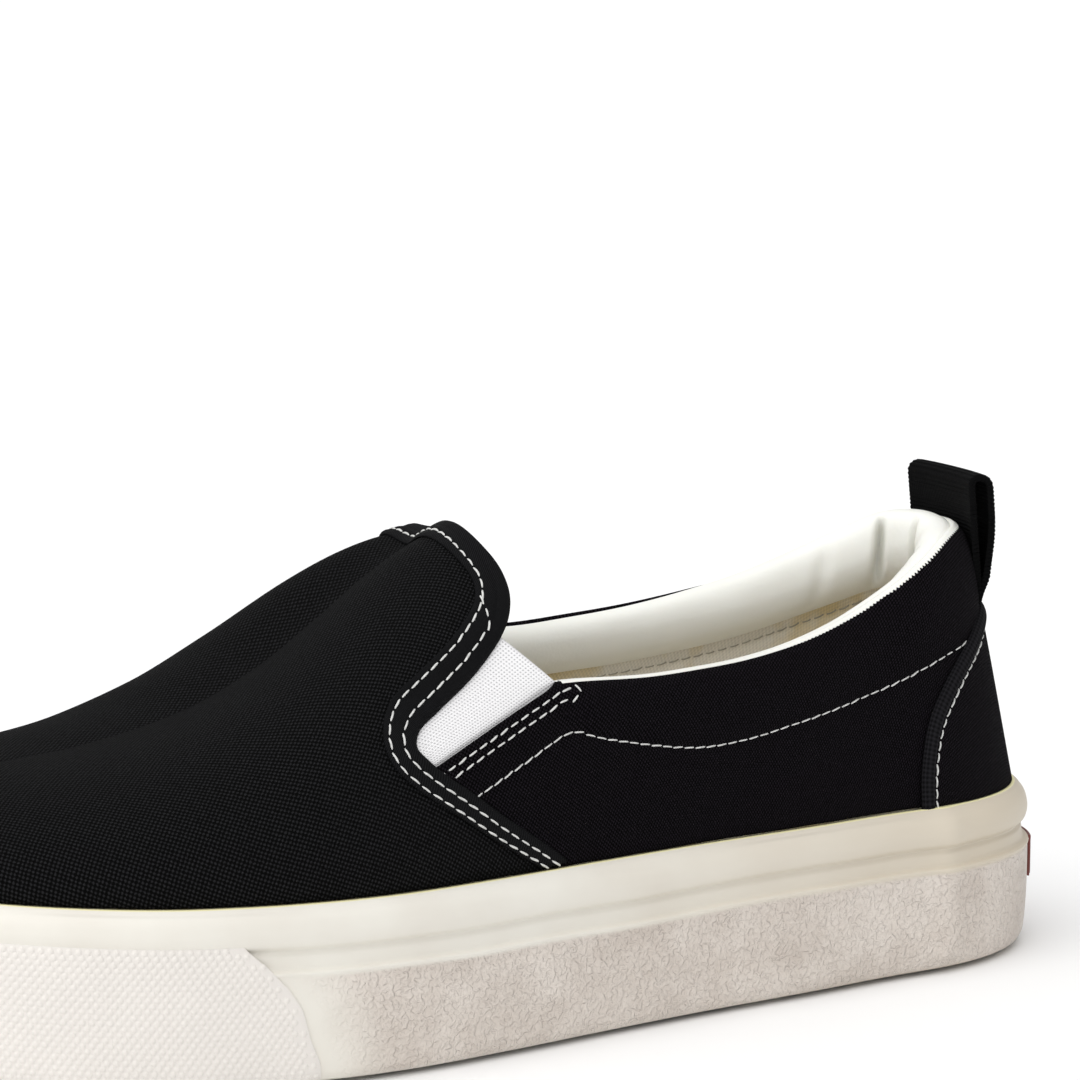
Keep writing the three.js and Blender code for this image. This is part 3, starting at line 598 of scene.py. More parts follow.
knob_points = []
knob_faces = []
row_count = int((BUMPER_HIGH - BUMPER_LOW) * SIDEWALL_HEIGHT / KNOB_ROW)
for k in range(row_count):
    h = BUMPER_LOW + (k + 0.7) * KNOB_ROW / SIDEWALL_HEIGHT
    out = table_at(BUMPER_BULGE, 1, h) * SIDEWALL_RELIEF + BUMPER_LIFT
    tau, side = bumper_taus(h, KNOB_LINE_POINTS)
    line = sole_point(tau, side, out, h * SIDEWALL_HEIGHT)
    away = sole_point(tau, side, out + 1, h * SIDEWALL_HEIGHT) - line
    length = run_along(line)
    middle = length[-1] / 2
    first = -math.floor((middle - 0.8) / KNOB_PITCH - 0.5 * (k % 2))
    marks = np.arange(first, -first + 1) * KNOB_PITCH + 0.5 * (k % 2) * KNOB_PITCH + middle
    marks = marks[(marks > 0.2) & (marks < length[-1] - 0.2)]
    spots = np.stack([np.interp(marks, length, line[:, c]) for c in range(3)], -1)
    slope = (table_at(BUMPER_BULGE, 1, h + 0.01) - table_at(BUMPER_BULGE, 1, h - 0.01)) * SIDEWALL_RELIEF
    tilt = -slope / (0.02 * SIDEWALL_HEIGHT)
    normal = np.stack([np.interp(marks, length, away[:, c]) for c in range(3)], -1)
    normal[:, 2] += tilt
    knob_points.append(spots)
    knob_faces.append(unit(normal))
knobs = grow(
    "toe_bumper_knobs",
    np.concatenate(knob_points),
    [],
    np.concatenate(knob_faces),
    knob_tree(),
    {"Radius": KNOB_RADIUS / 1000, "Height": KNOB_HEIGHT / 1000, "Seed": 3},
    bumper_rubber,
)
knobs.data.shade_flat()
settle(knobs, "bumper_rubber", "toe_bumper")

# Heel label: a small plain plate of brick-red rubber, vulcanised onto the grained band at the
# back of the heel. It carries nothing.
LABEL_WIDTH = 32.0
LABEL_HEIGHT = 9.3
LABEL_TOP = 0.645
LABEL_STAND = 0.9
LABEL_SHEET = 0.7
LABEL_EDGE = 0.2
LABEL_ROUND = 0.25
LABEL_ROUND_REACH = 0.35
LABEL_ROWS = 15
LABEL_COLUMNS = 41
label_rubber, tree, shader = new_finish("brick_red_rubber", {"Roughness": 0.48})
place = add(tree, "ShaderNodeTexCoord").outputs["Object"]
mottle = add(tree, "ShaderNodeTexNoise", {"Vector": place, "Scale": 220.0, "Detail": 3.0}).outputs["Fac"]
press(tree, shader, mottle, (0.0, "#5E241E"), (1.0, "#78352C"), mottle, 0.08, 0.5)

fine_tau = np.linspace(0, 0.35, 700)
label_rows = []
for v in np.linspace(0, 1, LABEL_ROWS):
    z = LABEL_TOP * SIDEWALL_HEIGHT - LABEL_HEIGHT * (1 - v)
    row = []
    for y in np.linspace(-0.5, 0.5, LABEL_COLUMNS) * LABEL_WIDTH:
        side_here = 1.0 if y >= 0 else -1.0
        corner = min(0.5 * LABEL_WIDTH - abs(y), LABEL_HEIGHT * min(v, 1 - v) + 1e-6)
        out = table_at(RIBS, 1, z / SIDEWALL_HEIGHT) * SIDEWALL_RELIEF + LABEL_STAND
        ys = np.abs(outline_raw(fine_tau, np.full_like(fine_tau, side_here))[1])
        tau_here = np.interp(abs(y), ys, fine_tau)
        round_off = LABEL_ROUND * math.exp(-max(corner, 0) / LABEL_ROUND_REACH)
        row.append(sole_point(tau_here, side_here, out - round_off, z))
    label_rows.append(row)
label = make("heel_label_plate", label_rows, grid_faces(LABEL_ROWS, LABEL_COLUMNS), label_rubber)
thicken(label, LABEL_SHEET)
round_edges(label, LABEL_EDGE)
settle(label, "label_rubber", "heel_label")

# Vamp: the front of the upper, one piece of black cotton canvas pulled over the last and glued
# under the sidewall. Its weave is plain and rather coarse, and a soft trough runs down its middle.
HEEL_RISE = 57.5
INSTEP_RISE = 65.0
GAP = 0.3
UPPER_INSET = SIDEWALL_LIP + GAP
CREASE_DEPTH = 4.1
CREASE_SIDE = -6.5
CREASE_WIDTH = 8.5
CREASE_MIDDLE = 0.51
CREASE_REACH = 55.0
CREASE_FADE = 1.2
CANVAS = 1.2
CANVAS_THREAD = 0.58
# Share along the spine, ridge height share, squareness lateral and medial, lean per height.
SECTIONS = [
    (0.0, 1.254, 4.7, 4.7, 0.21),
    (0.15, 1.254, 4.8, 4.8, 0.205),
    (0.3, 1.223, 4.2, 4.2, 0.18),
    (0.4, 1.162, 3.3, 3.3, 0.15),
    (0.48, 1.048, 2.5, 2.15, 0.1),
    (0.54, 0.986, 2.2, 2.16, 0.07),
    (0.6, 0.869, 2.1, 2.14, 0.05),
    (0.66, 0.713, 2.1, 2.02, 0.03),
    (0.72, 0.568, 2.1, 1.92, 0.02),
    (0.8, 0.432, 2.15, 1.9, 0.01),
    (0.9, 0.352, 2.2, 2.1, 0),
    (1.0, 0.315, 2.3, 2.3, 0),
]
SPINE_HEEL = 0.116
SPINE_TOE = 0.827
SPINE_SIDE = -0.036
SPINE_TURN = -0.045
# Side-view lines: share of the length, height above the sidewall as a share of the heel rise.
VAMP_EDGE = [
    (0.5, 1.6),
    (0.496, 1.25),
    (0.492, 1.1),
    (0.4875, 1.01),
    (0.488, 0.93),
    (0.494, 0.86),
    (0.503, 0.805),
    (0.53, 0.694),
    (0.562, 0.593),
    (0.581, 0.53),
    (0.586, 0.474),
    (0.574, 0.401),
]
VAMP_LAP = [
    (0.574, 0.401),
    (0.549, 0.307),
    (0.518, 0.189),
    (0.488, 0.085),
    (0.458, -0.03),
]
# How far ahead of the rear edge the canvas ends, inside the binding.
VAMP_BACK = 0.8
VAMP_ROWS = 70
VAMP_COLUMNS = 150
BISECTIONS = 20


def form_point(tau, side, angle, out):
    """Point of the upper's form: angle 0 at the sidewall's top, a right angle at the ridge."""
    tau, side, angle, out = np.broadcast_arrays(*(np.asarray(v, float) for v in (tau, side, angle, out)))
    x0, y0, nx, ny, t = outline(tau, side, out - UPPER_INSET)
    base = SIDEWALL_HEIGHT + lift(t * SOLE_LENGTH)
    ridge = SIDEWALL_HEIGHT + table_at(SECTIONS, 1, t) * INSTEP_RISE + out
    square = np.where(side > 0, table_at(SECTIONS, 2, t), table_at(SECTIONS, 3, t))
    inward = 1 - np.maximum(np.cos(angle), 0) ** (2 / square)
    height = np.sin(angle) ** (2 / square) * (ridge - base)
    lean = table_at(SECTIONS, 4, t) * height
    spine_x = (SPINE_HEEL + (SPINE_TOE - SPINE_HEEL) * t) * SOLE_LENGTH
    spine_y = (SPINE_SIDE + SPINE_TURN * t) * (BALL_WIDTH / 2)
    x = (1 - inward) * (x0 - nx * lean) + inward * spine_x
    y = (1 - inward) * (y0 - ny * lean) + inward * spine_y
    near = np.maximum(1 - np.abs(x - CREASE_MIDDLE * SOLE_LENGTH) / CREASE_REACH, 0) ** CREASE_FADE
    crease = CREASE_DEPTH * near * np.exp(-(((y - CREASE_SIDE) / CREASE_WIDTH) ** 2))
    return np.stack([x, y, base + height - crease], -1)


def wall_angle(tau, side, z, out):
    """Angle at which the form's wall reaches a height."""
    shape = np.broadcast_shapes(*(np.shape(v) for v in (tau, side, z, out)))
    low, high = np.zeros(shape), np.full(shape, np.pi / 2)
    for _ in range(BISECTIONS):
        middle = (low + high) / 2
        under = form_point(tau, side, middle, out)[..., 2] < z
        low, high = np.where(under, middle, low), np.where(under, high, middle)
    return (low + high) / 2


def on_form(x, z, side, out):
    """Station and angle of the form's wall point that shows at (x, z) from the side."""
    shape = np.broadcast_shapes(np.shape(x), np.shape(z), np.shape(side), np.shape(out))
    low, high = np.zeros(shape), np.full(shape, 0.9)
    for _ in range(BISECTIONS):
        tau = (low + high) / 2
        angle = wall_angle(tau, side, z, out)
        behind = form_point(tau, side, angle, out)[..., 0] < x
        low, high = np.where(behind, tau, low), np.where(behind, high, tau)
    return tau, angle


def cloth_map(tau, side, angle):
    """Where a point lies in the flat cloth, in millimetres: unrolled outward from the shoe's spine."""
    tau, side, angle = np.broadcast_arrays(tau, side, angle)
    share = np.linspace(0, 1, 17)
    angles = angle[..., None] + (np.pi / 2 - angle[..., None]) * share
    path = form_point(tau[..., None], side[..., None], angles, 0)
    arc = np.linalg.norm(np.diff(path, axis=-2), axis=-1).sum(-1)
    spine = form_point(tau, side, np.pi / 2, 0)[..., :2]
    foot = form_point(tau, side, 0.0, 0)[..., :2]
    return spine + unit(foot - spine) * arc[..., None]


def smooth_line(table, count, column=1):
    """A smooth line through a side-view table, in millimetres, as evenly spaced points."""
    rows = np.asarray(table, float)
    p = np.stack([rows[:, 0] * SOLE_LENGTH, SIDEWALL_HEIGHT + rows[:, column] * HEEL_RISE], -1)
    p = np.vstack([2 * p[0] - p[1], p, 2 * p[-1] - p[-2]])
    gaps = np.sqrt(np.linalg.norm(np.diff(p, axis=0), axis=1))
    u = np.linspace(0, 1, 24, endpoint=False)[:, None]
    pieces = []
    for i in range(1, len(p) - 2):
        g0, g1, g2 = gaps[i - 1], gaps[i], gaps[i + 1]
        a, b, c, d = p[i - 1], p[i], p[i + 1], p[i + 2]
        start = ((b - a) / g0 - (c - a) / (g0 + g1) + (c - b) / g1) * g1
        end = ((c - b) / g1 - (d - b) / (g1 + g2) + (d - c) / g2) * g1
        pieces.append(cubic(u, b, start, c, end))
    line = np.vstack(pieces + [p[-2:-1]])
    return respaced(line, count)


def respaced(line, count):
    """The same line as evenly spaced points."""
    length = run_along(line)
    marks = np.linspace(0, length[-1], count + 1)
    return np.stack([np.interp(marks, length, line[:, c]) for c in range(line.shape[1])], -1)


def beside(points, line):
    """Distance in the side view from a line to points (..., x z), positive to the line's left."""
    start, step = line[:-1], np.diff(line, axis=0)
    to = points[..., None, :] - start
    share = np.clip((to * step).sum(-1) / (step**2).sum(-1), 0, 1)
    gap = np.linalg.norm(to - share[..., None] * step, axis=-1)
    cross = step[:, 0] * to[..., 1] - step[:, 1] * to[..., 0]
    nearest = gap.argmin(-1)[..., None]
    turn = np.sign(np.take_along_axis(cross, nearest, -1)[..., 0])
    return np.take_along_axis(gap, nearest, -1)[..., 0] * turn


vamp_line = np.vstack([smooth_line(VAMP_EDGE, 80), smooth_line(VAMP_LAP, 30)[1:]])


def ahead_station(angle, side, distance):
    """Station at which the form lies a distance ahead of the vamp's rear edge."""
    angle, side, distance = np.broadcast_arrays(angle, side, distance)
    low, high = np.full(angle.shape, 0.25), np.ones(angle.shape)
    for _ in range(BISECTIONS):
        tau = (low + high) / 2
        seen = form_point(tau, side, angle, 0)[..., [0, 2]]
        behind = beside(seen, vamp_line) < distance
        low, high = np.where(behind, tau, low), np.where(behind, high, tau)
    return tau


def crossed_waves(tree, cloth, along, across, meeting):
    """Waves of two pitches that cross on the flat cloth, as one height from 0 to 1."""
    parts = add(tree, "ShaderNodeSeparateXYZ", {0: cloth})
    waves = []
    for axis, pitch in (("X", along), ("Y", across)):
        phase = add(tree, "ShaderNodeMath", {0: parts.outputs[axis], 1: 2 * math.pi / pitch})
        phase.operation = "MULTIPLY"
        waves.append(add(tree, "ShaderNodeMath", {0: phase.outputs[0]}, operation="SINE").outputs[0])
    both = add(tree, "ShaderNodeMath", {0: waves[0], 1: waves[1]}, operation=meeting).outputs[0]
    reach = 2.0 if meeting == "ADD" else 1.0
    whole = {"Value": both, "From Min": -reach, "From Max": reach}
    return add(tree, "ShaderNodeMapRange", whole).outputs[0]


def weave(tree, thread, wander):
    """Plain weave on the piece's flat cloth: returns its height and the cloth coordinate."""
    cloth = add(tree, "ShaderNodeUVMap", uv_map="cloth").outputs["UV"]
    stray = add(tree, "ShaderNodeTexNoise", {"Vector": cloth, "Scale": 0.9 / thread, "Detail": 2.0})
    half = (0.5, 0.5, 0.5)
    shift = add(tree, "ShaderNodeVectorMath", {0: stray.outputs["Color"], 1: half}, operation="SUBTRACT")
    far = {0: shift.outputs[0], "Scale": wander * thread}
    scaled = add(tree, "ShaderNodeVectorMath", far, operation="SCALE")
    bent = add(tree, "ShaderNodeVectorMath", {0: cloth, 1: scaled.outputs[0]}, operation="ADD")
    return crossed_waves(tree, bent.outputs[0], 2 * thread, 2 * thread, "MULTIPLY"), cloth


# Black cotton canvas: matt, faint lint; the weave sets its colour too, with painted shade in the gaps
# between threads and a painted highlight on the thread tops.
canvas, tree, shader = new_finish("black_cotton_canvas", {"Roughness": 0.92, "Specular IOR Level": 0.08})
threads, cloth = weave(tree, CANVAS_THREAD, 0.75)
lint = add(tree, "ShaderNodeTexNoise", {"Vector": cloth, "Scale": 2.4, "Detail": 6.0, "Roughness": 0.95})
tone = add(tree, "ShaderNodeMath", {0: threads, 1: lint.outputs["Fac"]}, operation="MULTIPLY")
press(tree, shader, tone.outputs[0], (0.23, "#010101"), (0.46, "#2B2B2D"), tone.outputs[0], 0.6, 1.0)


def over_the_ridge(count):
    """Angles and sides of the rows from the lateral foot over the ridge to the medial foot."""
    angles = np.linspace(0, np.pi / 2, count)
    both = np.concatenate([angles, angles[::-1][1:]])
    return both, np.concatenate([np.ones(count), -np.ones(count - 1)])


angle, side = over_the_ridge(VAMP_ROWS)
tau_edge = ahead_station(angle, side, VAMP_BACK)
share = np.linspace(0, 1, VAMP_COLUMNS)
tau = tau_edge[:, None] + (1 - tau_edge[:, None]) * share
vamp_points = form_point(tau, side[:, None], angle[:, None], 0)
vamp = make(
    "canvas_vamp",
    vamp_points,
    grid_faces(*tau.shape),
    canvas,
    cloth=cloth_map(tau, side[:, None], angle[:, None]),
)
thicken(vamp, CANVAS)
settle(vamp, "canvas", "upper")

# Quarters: the rear of the upper, a softer brushed canvas, cut as one lateral and one medial panel
# that meet at the heel. Padding swells them between the collar and a stitched line below it, and
# their front edges are folded and sewn down along the elastic.
QUARTER_THREAD = 0.5
# Front edge along the elastic from its foot up to the collar's corner.
GORE_EDGE = [
    (0.574, 0.401),
    (0.536, 0.484),
    (0.5, 0.56),
    (0.466, 0.634),
]
# Collar line from the corner to the heel, lateral then medial.
COLLAR = [
    (0.466, 0.634, 0.634),
    (0.447, 0.632, 0.634),
    (0.386, 0.614, 0.632),
    (0.341, 0.616, 0.65),
    (0.295, 0.628, 0.672),
    (0.249, 0.66, 0.706),
    (0.2, 0.72, 0.755),
    (0.15, 0.82, 0.835),
    (0.118, 0.9, 0.9),
    (0.09, 0.965, 0.965),
    (0.06, 0.995, 0.995),
    (-0.03, 1.0, 1.0),
]
# The stitched line under the padding, from the front to the heel counter.
PADDING_SEAM = [
    (0.541, 0.289),
    (0.497, 0.382),
    (0.456, 0.457),
    (0.435, 0.427),
    (0.391, 0.375),
    (0.346, 0.338),
    (0.301, 0.341),
    (0.255, 0.372),
    (0.206, 0.414),
    (0.158, 0.469),
    (0.107, 0.543),
    (0.05, 0.62),
]
PUFF = 1.5
PUFF_REACH = 4.2
PUFF_TOP = 3.0
SEAM_PULL = 0.35
SEAM_PULL_WIDTH = 1.1
COLLAR_ROLL = 1.1
COLLAR_ROLL_REACH = 0.7
WRINKLE = 0.22
HEM_WIDTH = 5.4
HEM_LIFT = 0.45
HEM_ROWS = (1.8, 3.6)
HEM_ROW_DIP = 0.22
HEM_ROW_WIDTH = 0.45
LAP_TUCK = 2.5
QUARTER_ROWS = 64
QUARTER_COLUMNS = 170

gore_line = smooth_line(GORE_EDGE, 40)
foot_way = unit(gore_line[0] - gore_line[3])
hem_turn = gore_line[-1] + np.array([(-1.4, 0.3), (-3.6, 0.3), (-6.5, 0.0), (-9.5, -0.5)])
hem_line = respaced(np.vstack([gore_line[:1] + foot_way * 14, gore_line, hem_turn]), 120)
for _ in range(3):
    hem_line[1:-1] = (hem_line[:-2] + 2 * hem_line[1:-1] + hem_line[2:]) / 4
padding_line = smooth_line(PADDING_SEAM, 160)
collar_lines = {1: smooth_line(COLLAR, 120, 1), -1: smooth_line(COLLAR, 120, 2)}
lap_line = smooth_line(VAMP_LAP, 30)


def collar_height(x, side):
    """Height of the collar line at x."""
    both = [np.interp(x, collar_lines[s][::-1, 0], collar_lines[s][::-1, 1]) for s in (1, -1)]
    return np.where(side > 0, both[0], both[1])


def quarter_swell(x, z, side):
    """How far the quarter stands out from the bare form: padding, folded hem, pulled seams."""
    seen = np.stack(np.broadcast_arrays(x, z), -1)
    over_seam = -beside(seen, padding_line)
    below_top = collar_height(x, side) - z
    fade = np.clip((0.5 * SOLE_LENGTH - x) / 18, 0, 1) * np.clip((x - 4) / 14, 0, 1)
    puff = PUFF * (1 - np.exp(-np.maximum(over_seam, 0) / PUFF_REACH))
    puff *= 1 - np.exp(-np.maximum(below_top, 0) / PUFF_TOP)
    pull = SEAM_PULL * np.exp(-((over_seam / SEAM_PULL_WIDTH) ** 2)) * (x > 30)
    from_gore = beside(seen, hem_line)
    hem = HEM_LIFT / (1 + np.exp((from_gore - HEM_WIDTH) / 0.35)) * np.clip((x - 126) / 8, 0, 1)
    rows = sum(np.exp(-(((from_gore - d) / HEM_ROW_WIDTH) ** 2)) for d in HEM_ROWS)
    rows = HEM_ROW_DIP * rows * (x > 132)
    roll = COLLAR_ROLL * np.exp(-np.maximum(below_top, 0) / COLLAR_ROLL_REACH)
    wrinkle = WRINKLE * ripple(x + 0.7 * z, 21, 6, 60) * np.clip(below_top / 6, 0, 1)
    return puff * fade - pull + hem - rows - roll + wrinkle * fade


def quarter_front(z):
    """Front limit of the quarter at height z: along the elastic, and tucked under the vamp below it."""
    lap = np.interp(z, lap_line[::-1, 1], lap_line[::-1, 0]) + LAP_TUCK
    return np.where(z < gore_line[0, 1], lap, np.interp(z, gore_line[:, 1], gore_line[:, 0]))


def quarter_place(tau, side, share):
    """Height and x of the quarter at a station, at a share of the way up to the collar."""
    z = np.full(np.broadcast_shapes(np.shape(tau), np.shape(share)), SIDEWALL_HEIGHT + 20.0)
    for _ in range(4):
        angle = wall_angle(tau, side, z, 0.0)
        x = form_point(tau, side, angle, 0.0)[..., 0]
        base = SIDEWALL_HEIGHT + lift(x)
        z = base + share * (collar_height(x, side) - base)
    return x, z


def quarter_grid(side, out=0.0, swell=True):
    """Points and cloth places of one quarter panel."""
    share = np.linspace(0, 1, QUARTER_ROWS) ** 0.9
    low, high = np.zeros(QUARTER_ROWS), np.full(QUARTER_ROWS, 0.75)
    for _ in range(BISECTIONS):
        tau = (low + high) / 2
        x, z = quarter_place(tau, side, share)
        behind = x < quarter_front(z)
        low, high = np.where(behind, tau, low), np.where(behind, high, tau)
    along = np.linspace(0, 1, QUARTER_COLUMNS)
    taus = tau[:, None] * along
    x, z = quarter_place(taus, side, share[:, None])
    stand = quarter_swell(x, z, side) if swell else 0.0
    angle = wall_angle(taus, side, z, stand + out)
    return form_point(taus, side, angle, stand + out), cloth_map(taus, side, angle)


# Brushed black canvas: finer thread, a soft nap with a faint violet cast, duller than the vamp; painted
# shade in the gaps between threads and a painted highlight on their tops.
brushed, tree, shader = new_finish(
    "brushed_black_canvas",
    {
        "Roughness": 0.95,
        "Specular IOR Level": 0.04,
        "Sheen Weight": 0.012,
        "Sheen Roughness": 0.5,
    },
)
threads, cloth = weave(tree, QUARTER_THREAD, 0.9)
nap = add(tree, "ShaderNodeTexNoise", {"Vector": cloth, "Scale": 2.6, "Detail": 5.0, "Roughness": 1.0})
tone = add(tree, "ShaderNodeMath", {0: threads, 1: nap.outputs["Fac"]}, operation="MULTIPLY")
press(tree, shader, tone.outputs[0], (0.24, "#010001"), (0.46, "#231E25"), tone.outputs[0], 0.5, 1.0)


def panelled(name, panels, material):
    """One piece of several panels: points, cloth places, and whether the faces turn over."""
    points = np.concatenate([p[0].reshape(-1, 3) for p in panels])
    flat = np.concatenate([p[1].reshape(-1, 2) for p in panels])
    faces = []
    start = 0
    for grid, _, turned in panels:
        quads = grid_faces(*grid.shape[:2])
        faces.append((quads[:, ::-1] if turned else quads) + start)
        start += grid.shape[0] * grid.shape[1]
    return make(name, points, np.vstack(faces), material, cloth=flat)


panels = [(*quarter_grid(s), s < 0) for s in (1, -1)]
quarters = panelled("canvas_quarters", panels, brushed)
thicken(quarters, CANVAS)
settle(quarters, "canvas", "upper")

# Vamp binding: a smooth black twill tape folded over the throat's edge and sewn down with two rows;
# at the sides it carries on over the quarter to the sidewall.
BINDING_WIDTH = 6.4
BINDING_LIFT = 1.0
TWILL_RIB = 0.42
# Width by height above the sidewall, as a share of the full width.
BINDING_TAPER = [
    (-0.05, 0.62),
    (0.1, 0.74),
    (0.3, 0.88),
    (0.5, 1.02),
    (1.3, 1.0),
]
ROW_SHARES = (0.84, 0.4)
ROW_DRAW = 0.12
# Section from the outer front edge over the fold to the inside: share of the width or distance, lift.
BINDING_OUTSIDE = [
    (1.0, 0.2),
    (1.01, 0.6),
    (0.98, 0.85),
    (0.92, 0.98),
    (0.88, 0.95),
    (0.84, 0.8),
    (0.8, 0.95),
    (0.7, 1.05),
    (0.55, 1.08),
    (0.45, 0.98),
    (0.4, 0.82),
    (0.35, 0.96),
    (0.22, 1.04),
    (0.1, 1.0),
    (0.02, 0.72),
]
BINDING_INSIDE = [
    (-0.35, 0.2),
    (-0.48, -0.5),
    (-0.4, -1.3),
    (-0.05, -1.85),
    (0.7, -2.1),
    (2.0, -2.15),
    (3.4, -2.1),
    (3.9, -1.9),
    (3.8, -1.6),
    (2.0, -1.0),
    (2.4, -0.3),
    (4.0, 0.05),
]
BINDING_ROWS = 110

twill, tree, shader = new_finish("black_twill_tape", {"Roughness": 0.8, "Specular IOR Level": 0.1})
cloth = add(tree, "ShaderNodeUVMap", uv_map="cloth").outputs["UV"]
parts = add(tree, "ShaderNodeSeparateXYZ", {0: cloth})
slant = add(tree, "ShaderNodeMath", {0: parts.outputs["X"], 1: parts.outputs["Y"]}, operation="ADD")
phase = add(tree, "ShaderNodeMath", {0: slant.outputs[0], 1: 2 * math.pi / (TWILL_RIB * 1.4142)})
phase.operation = "MULTIPLY"
rib = add(tree, "ShaderNodeMath", {0: phase.outputs[0]}, operation="SINE")
height = add(tree, "ShaderNodeMapRange", {"Value": rib.outputs[0], "From Min": -1.0})
lint = add(tree, "ShaderNodeTexNoise", {"Vector": cloth, "Scale": 2.0, "Detail": 5.0})
# The ribs' height sets the colour as well: painted shade in the valleys between the twill's ribs and a
# painted highlight on their tops, with faint lint.
tone = add(tree, "ShaderNodeMath", {0: height.outputs[0], 1: lint.outputs["Fac"]}, operation="MULTIPLY")
press(tree, shader, tone.outputs[0], (0.0, "#030304"), (0.7, "#19191B"), height.outputs[0], 0.1, 0.8)


def rise_of(points):
    """Height above the sidewall as a share of the heel rise."""
    return (points[..., 2] - SIDEWALL_HEIGHT - lift(points[..., 0])) / HEEL_RISE


def binding_at(angle, side, share):
    """Station on the form at a share of the binding's width ahead of the rear edge."""
    tau = ahead_station(angle, side, 0.0)
    share = share - ROW_DRAW * np.clip((angle - 0.8) / 0.6, 0, 1) if 0.7 < share < 0.9 else share
    for _ in range(2):
        width = BINDING_WIDTH * table_at(BINDING_TAPER, 1, rise_of(form_point(tau, side, angle, 0.0)))
        tau = ahead_station(angle, side, share * width)
    return tau


def capped(rows, columns):
    """Faces of a swept tube with both ends closed."""
    faces = list(grid_faces(rows, columns, around=True))
    return faces + [list(range(columns)), list(range((rows - 1) * columns, rows * columns))]


angle, side = over_the_ridge(BINDING_ROWS)
angle = np.maximum(angle, 0.004)
edge_rise = rise_of(form_point(ahead_station(angle, side, 0.0), side, angle, 0.0))
folded = np.clip((edge_rise - 0.36) / 0.08, 0, 1)
ring = []
cloth_across = []
for share, stand in BINDING_OUTSIDE:
    tau = binding_at(angle, side, share)
    ring.append(form_point(tau, side, angle, stand * BINDING_LIFT))
    cloth_across.append(share * BINDING_WIDTH)
for distance, stand in BINDING_INSIDE:
    tau = ahead_station(angle, side, distance)
    ring.append(form_point(tau, side, angle, stand * folded + 0.1 * (1 - folded)))
    cloth_across.append(-distance)
ring = np.stack(ring, 1)
length = run_along(ring[:, 7])
cloth = np.stack(np.broadcast_arrays(length[:, None], np.array(cloth_across)[None, :]), -1)
binding = make("vamp_binding_tape", ring, capped(*ring.shape[:2]), twill, cloth=cloth, closed=True)
settle(binding, "twill", "vamp_binding")

# Elastic gores: white knitted elastic let in between the vamp and each quarter, with their edges
# under both, so that the shoe stretches over the foot.
GORE_SINK = 0.45
GORE_TUCK = 2.4
GORE_THICKNESS = 0.7
GORE_LENGTH = 34
GORE_ROWS = 50
GORE_TOP_RISE = 0.812
KNIT = 0.7

elastic, tree, shader = new_finish("white_knitted_elastic", {"Roughness": 0.85})
cloth = add(tree, "ShaderNodeUVMap", uv_map="cloth").outputs["UV"]
height = crossed_waves(tree, cloth, KNIT, KNIT, "MAXIMUM")
# The knit's height sets its colour: painted shade grey between the loops, near white on their tops.
press(tree, shader, height, (0.0, "#B4B3B5"), (0.7, "#F4F3F4"), height, 0.12, 0.7)

top_z = SIDEWALL_HEIGHT + GORE_TOP_RISE * HEEL_RISE
front_part = vamp_line[(vamp_line[:, 1] <= top_z) & (vamp_line[:, 1] >= gore_line[0, 1])][::-1]
front_points = respaced(front_part, GORE_ROWS)
rear_points = respaced(gore_line, GORE_ROWS)
reach = front_points - rear_points
gap = np.linalg.norm(reach, axis=1)[:, None]
way = reach / np.maximum(gap, 1e-3)
way[0] = way[1]
spread = np.concatenate(
    [
        np.linspace(-GORE_TUCK, 0, 8, endpoint=False) + 0 * gap,
        np.linspace(0, 1, 30) * gap,
        gap + np.linspace(0, GORE_TUCK, 9)[1:],
    ],
    axis=1,
)
seen = rear_points[:, None, :] + way[:, None, :] * spread[..., None]
to_front = gap - spread
depth = -GORE_SINK - 0.45 / (1 + np.exp(spread / 0.35)) - 0.9 / (1 + np.exp(to_front / 0.35))
down_the_cloth = np.broadcast_to(np.linspace(0, GORE_LENGTH, GORE_ROWS + 1)[:, None], spread.shape)
for s, name in ((1, "lateral"), (-1, "medial")):
    tau, angle = on_form(seen[..., 0], seen[..., 1], float(s), depth)
    points = form_point(tau, float(s), angle, depth)
    gore = make(
        "elastic_gore_" + name,
        points,
        grid_faces(*spread.shape),
        elastic,
        cloth=np.stack([spread, down_the_cloth], -1),
    )
    thicken(gore, GORE_THICKNESS)
    settle(gore, "elastic", "gore_" + name)

# Heel counter: an outside patch of dense black canvas round the heel's back, edged with a ribbed
# tape that is folded round its front edge and sewn down.
COUNTER_LIFT = 0.95
COUNTER_THICKNESS = 0.7
COUNTER_TAPE = 3.6
COUNTER_TAPE_LIFT = 1.5
COUNTER_ROW = 4.2
COUNTER_EDGE = [
    (0.148, -0.03),
    (0.145, 0.136),
    (0.134, 0.313),
    (0.114, 0.449),
    (0.084, 0.58),
    (0.05, 0.69),
    (-0.03, 0.72),
]
COUNTER_ROWS = 40
COUNTER_HALF = 34
COUNTER_EDGE_POINTS = 60
TAPE_PITCH = 1.0
TAPE_RIB = 0.9
counter_line = smooth_line(COUNTER_EDGE, 400)


def moved(line, distance):
    """A side-view line moved to its left."""
    way = unit(np.gradient(line, axis=0))
    return line + np.stack([-way[:, 1], way[:, 0]], -1) * distance


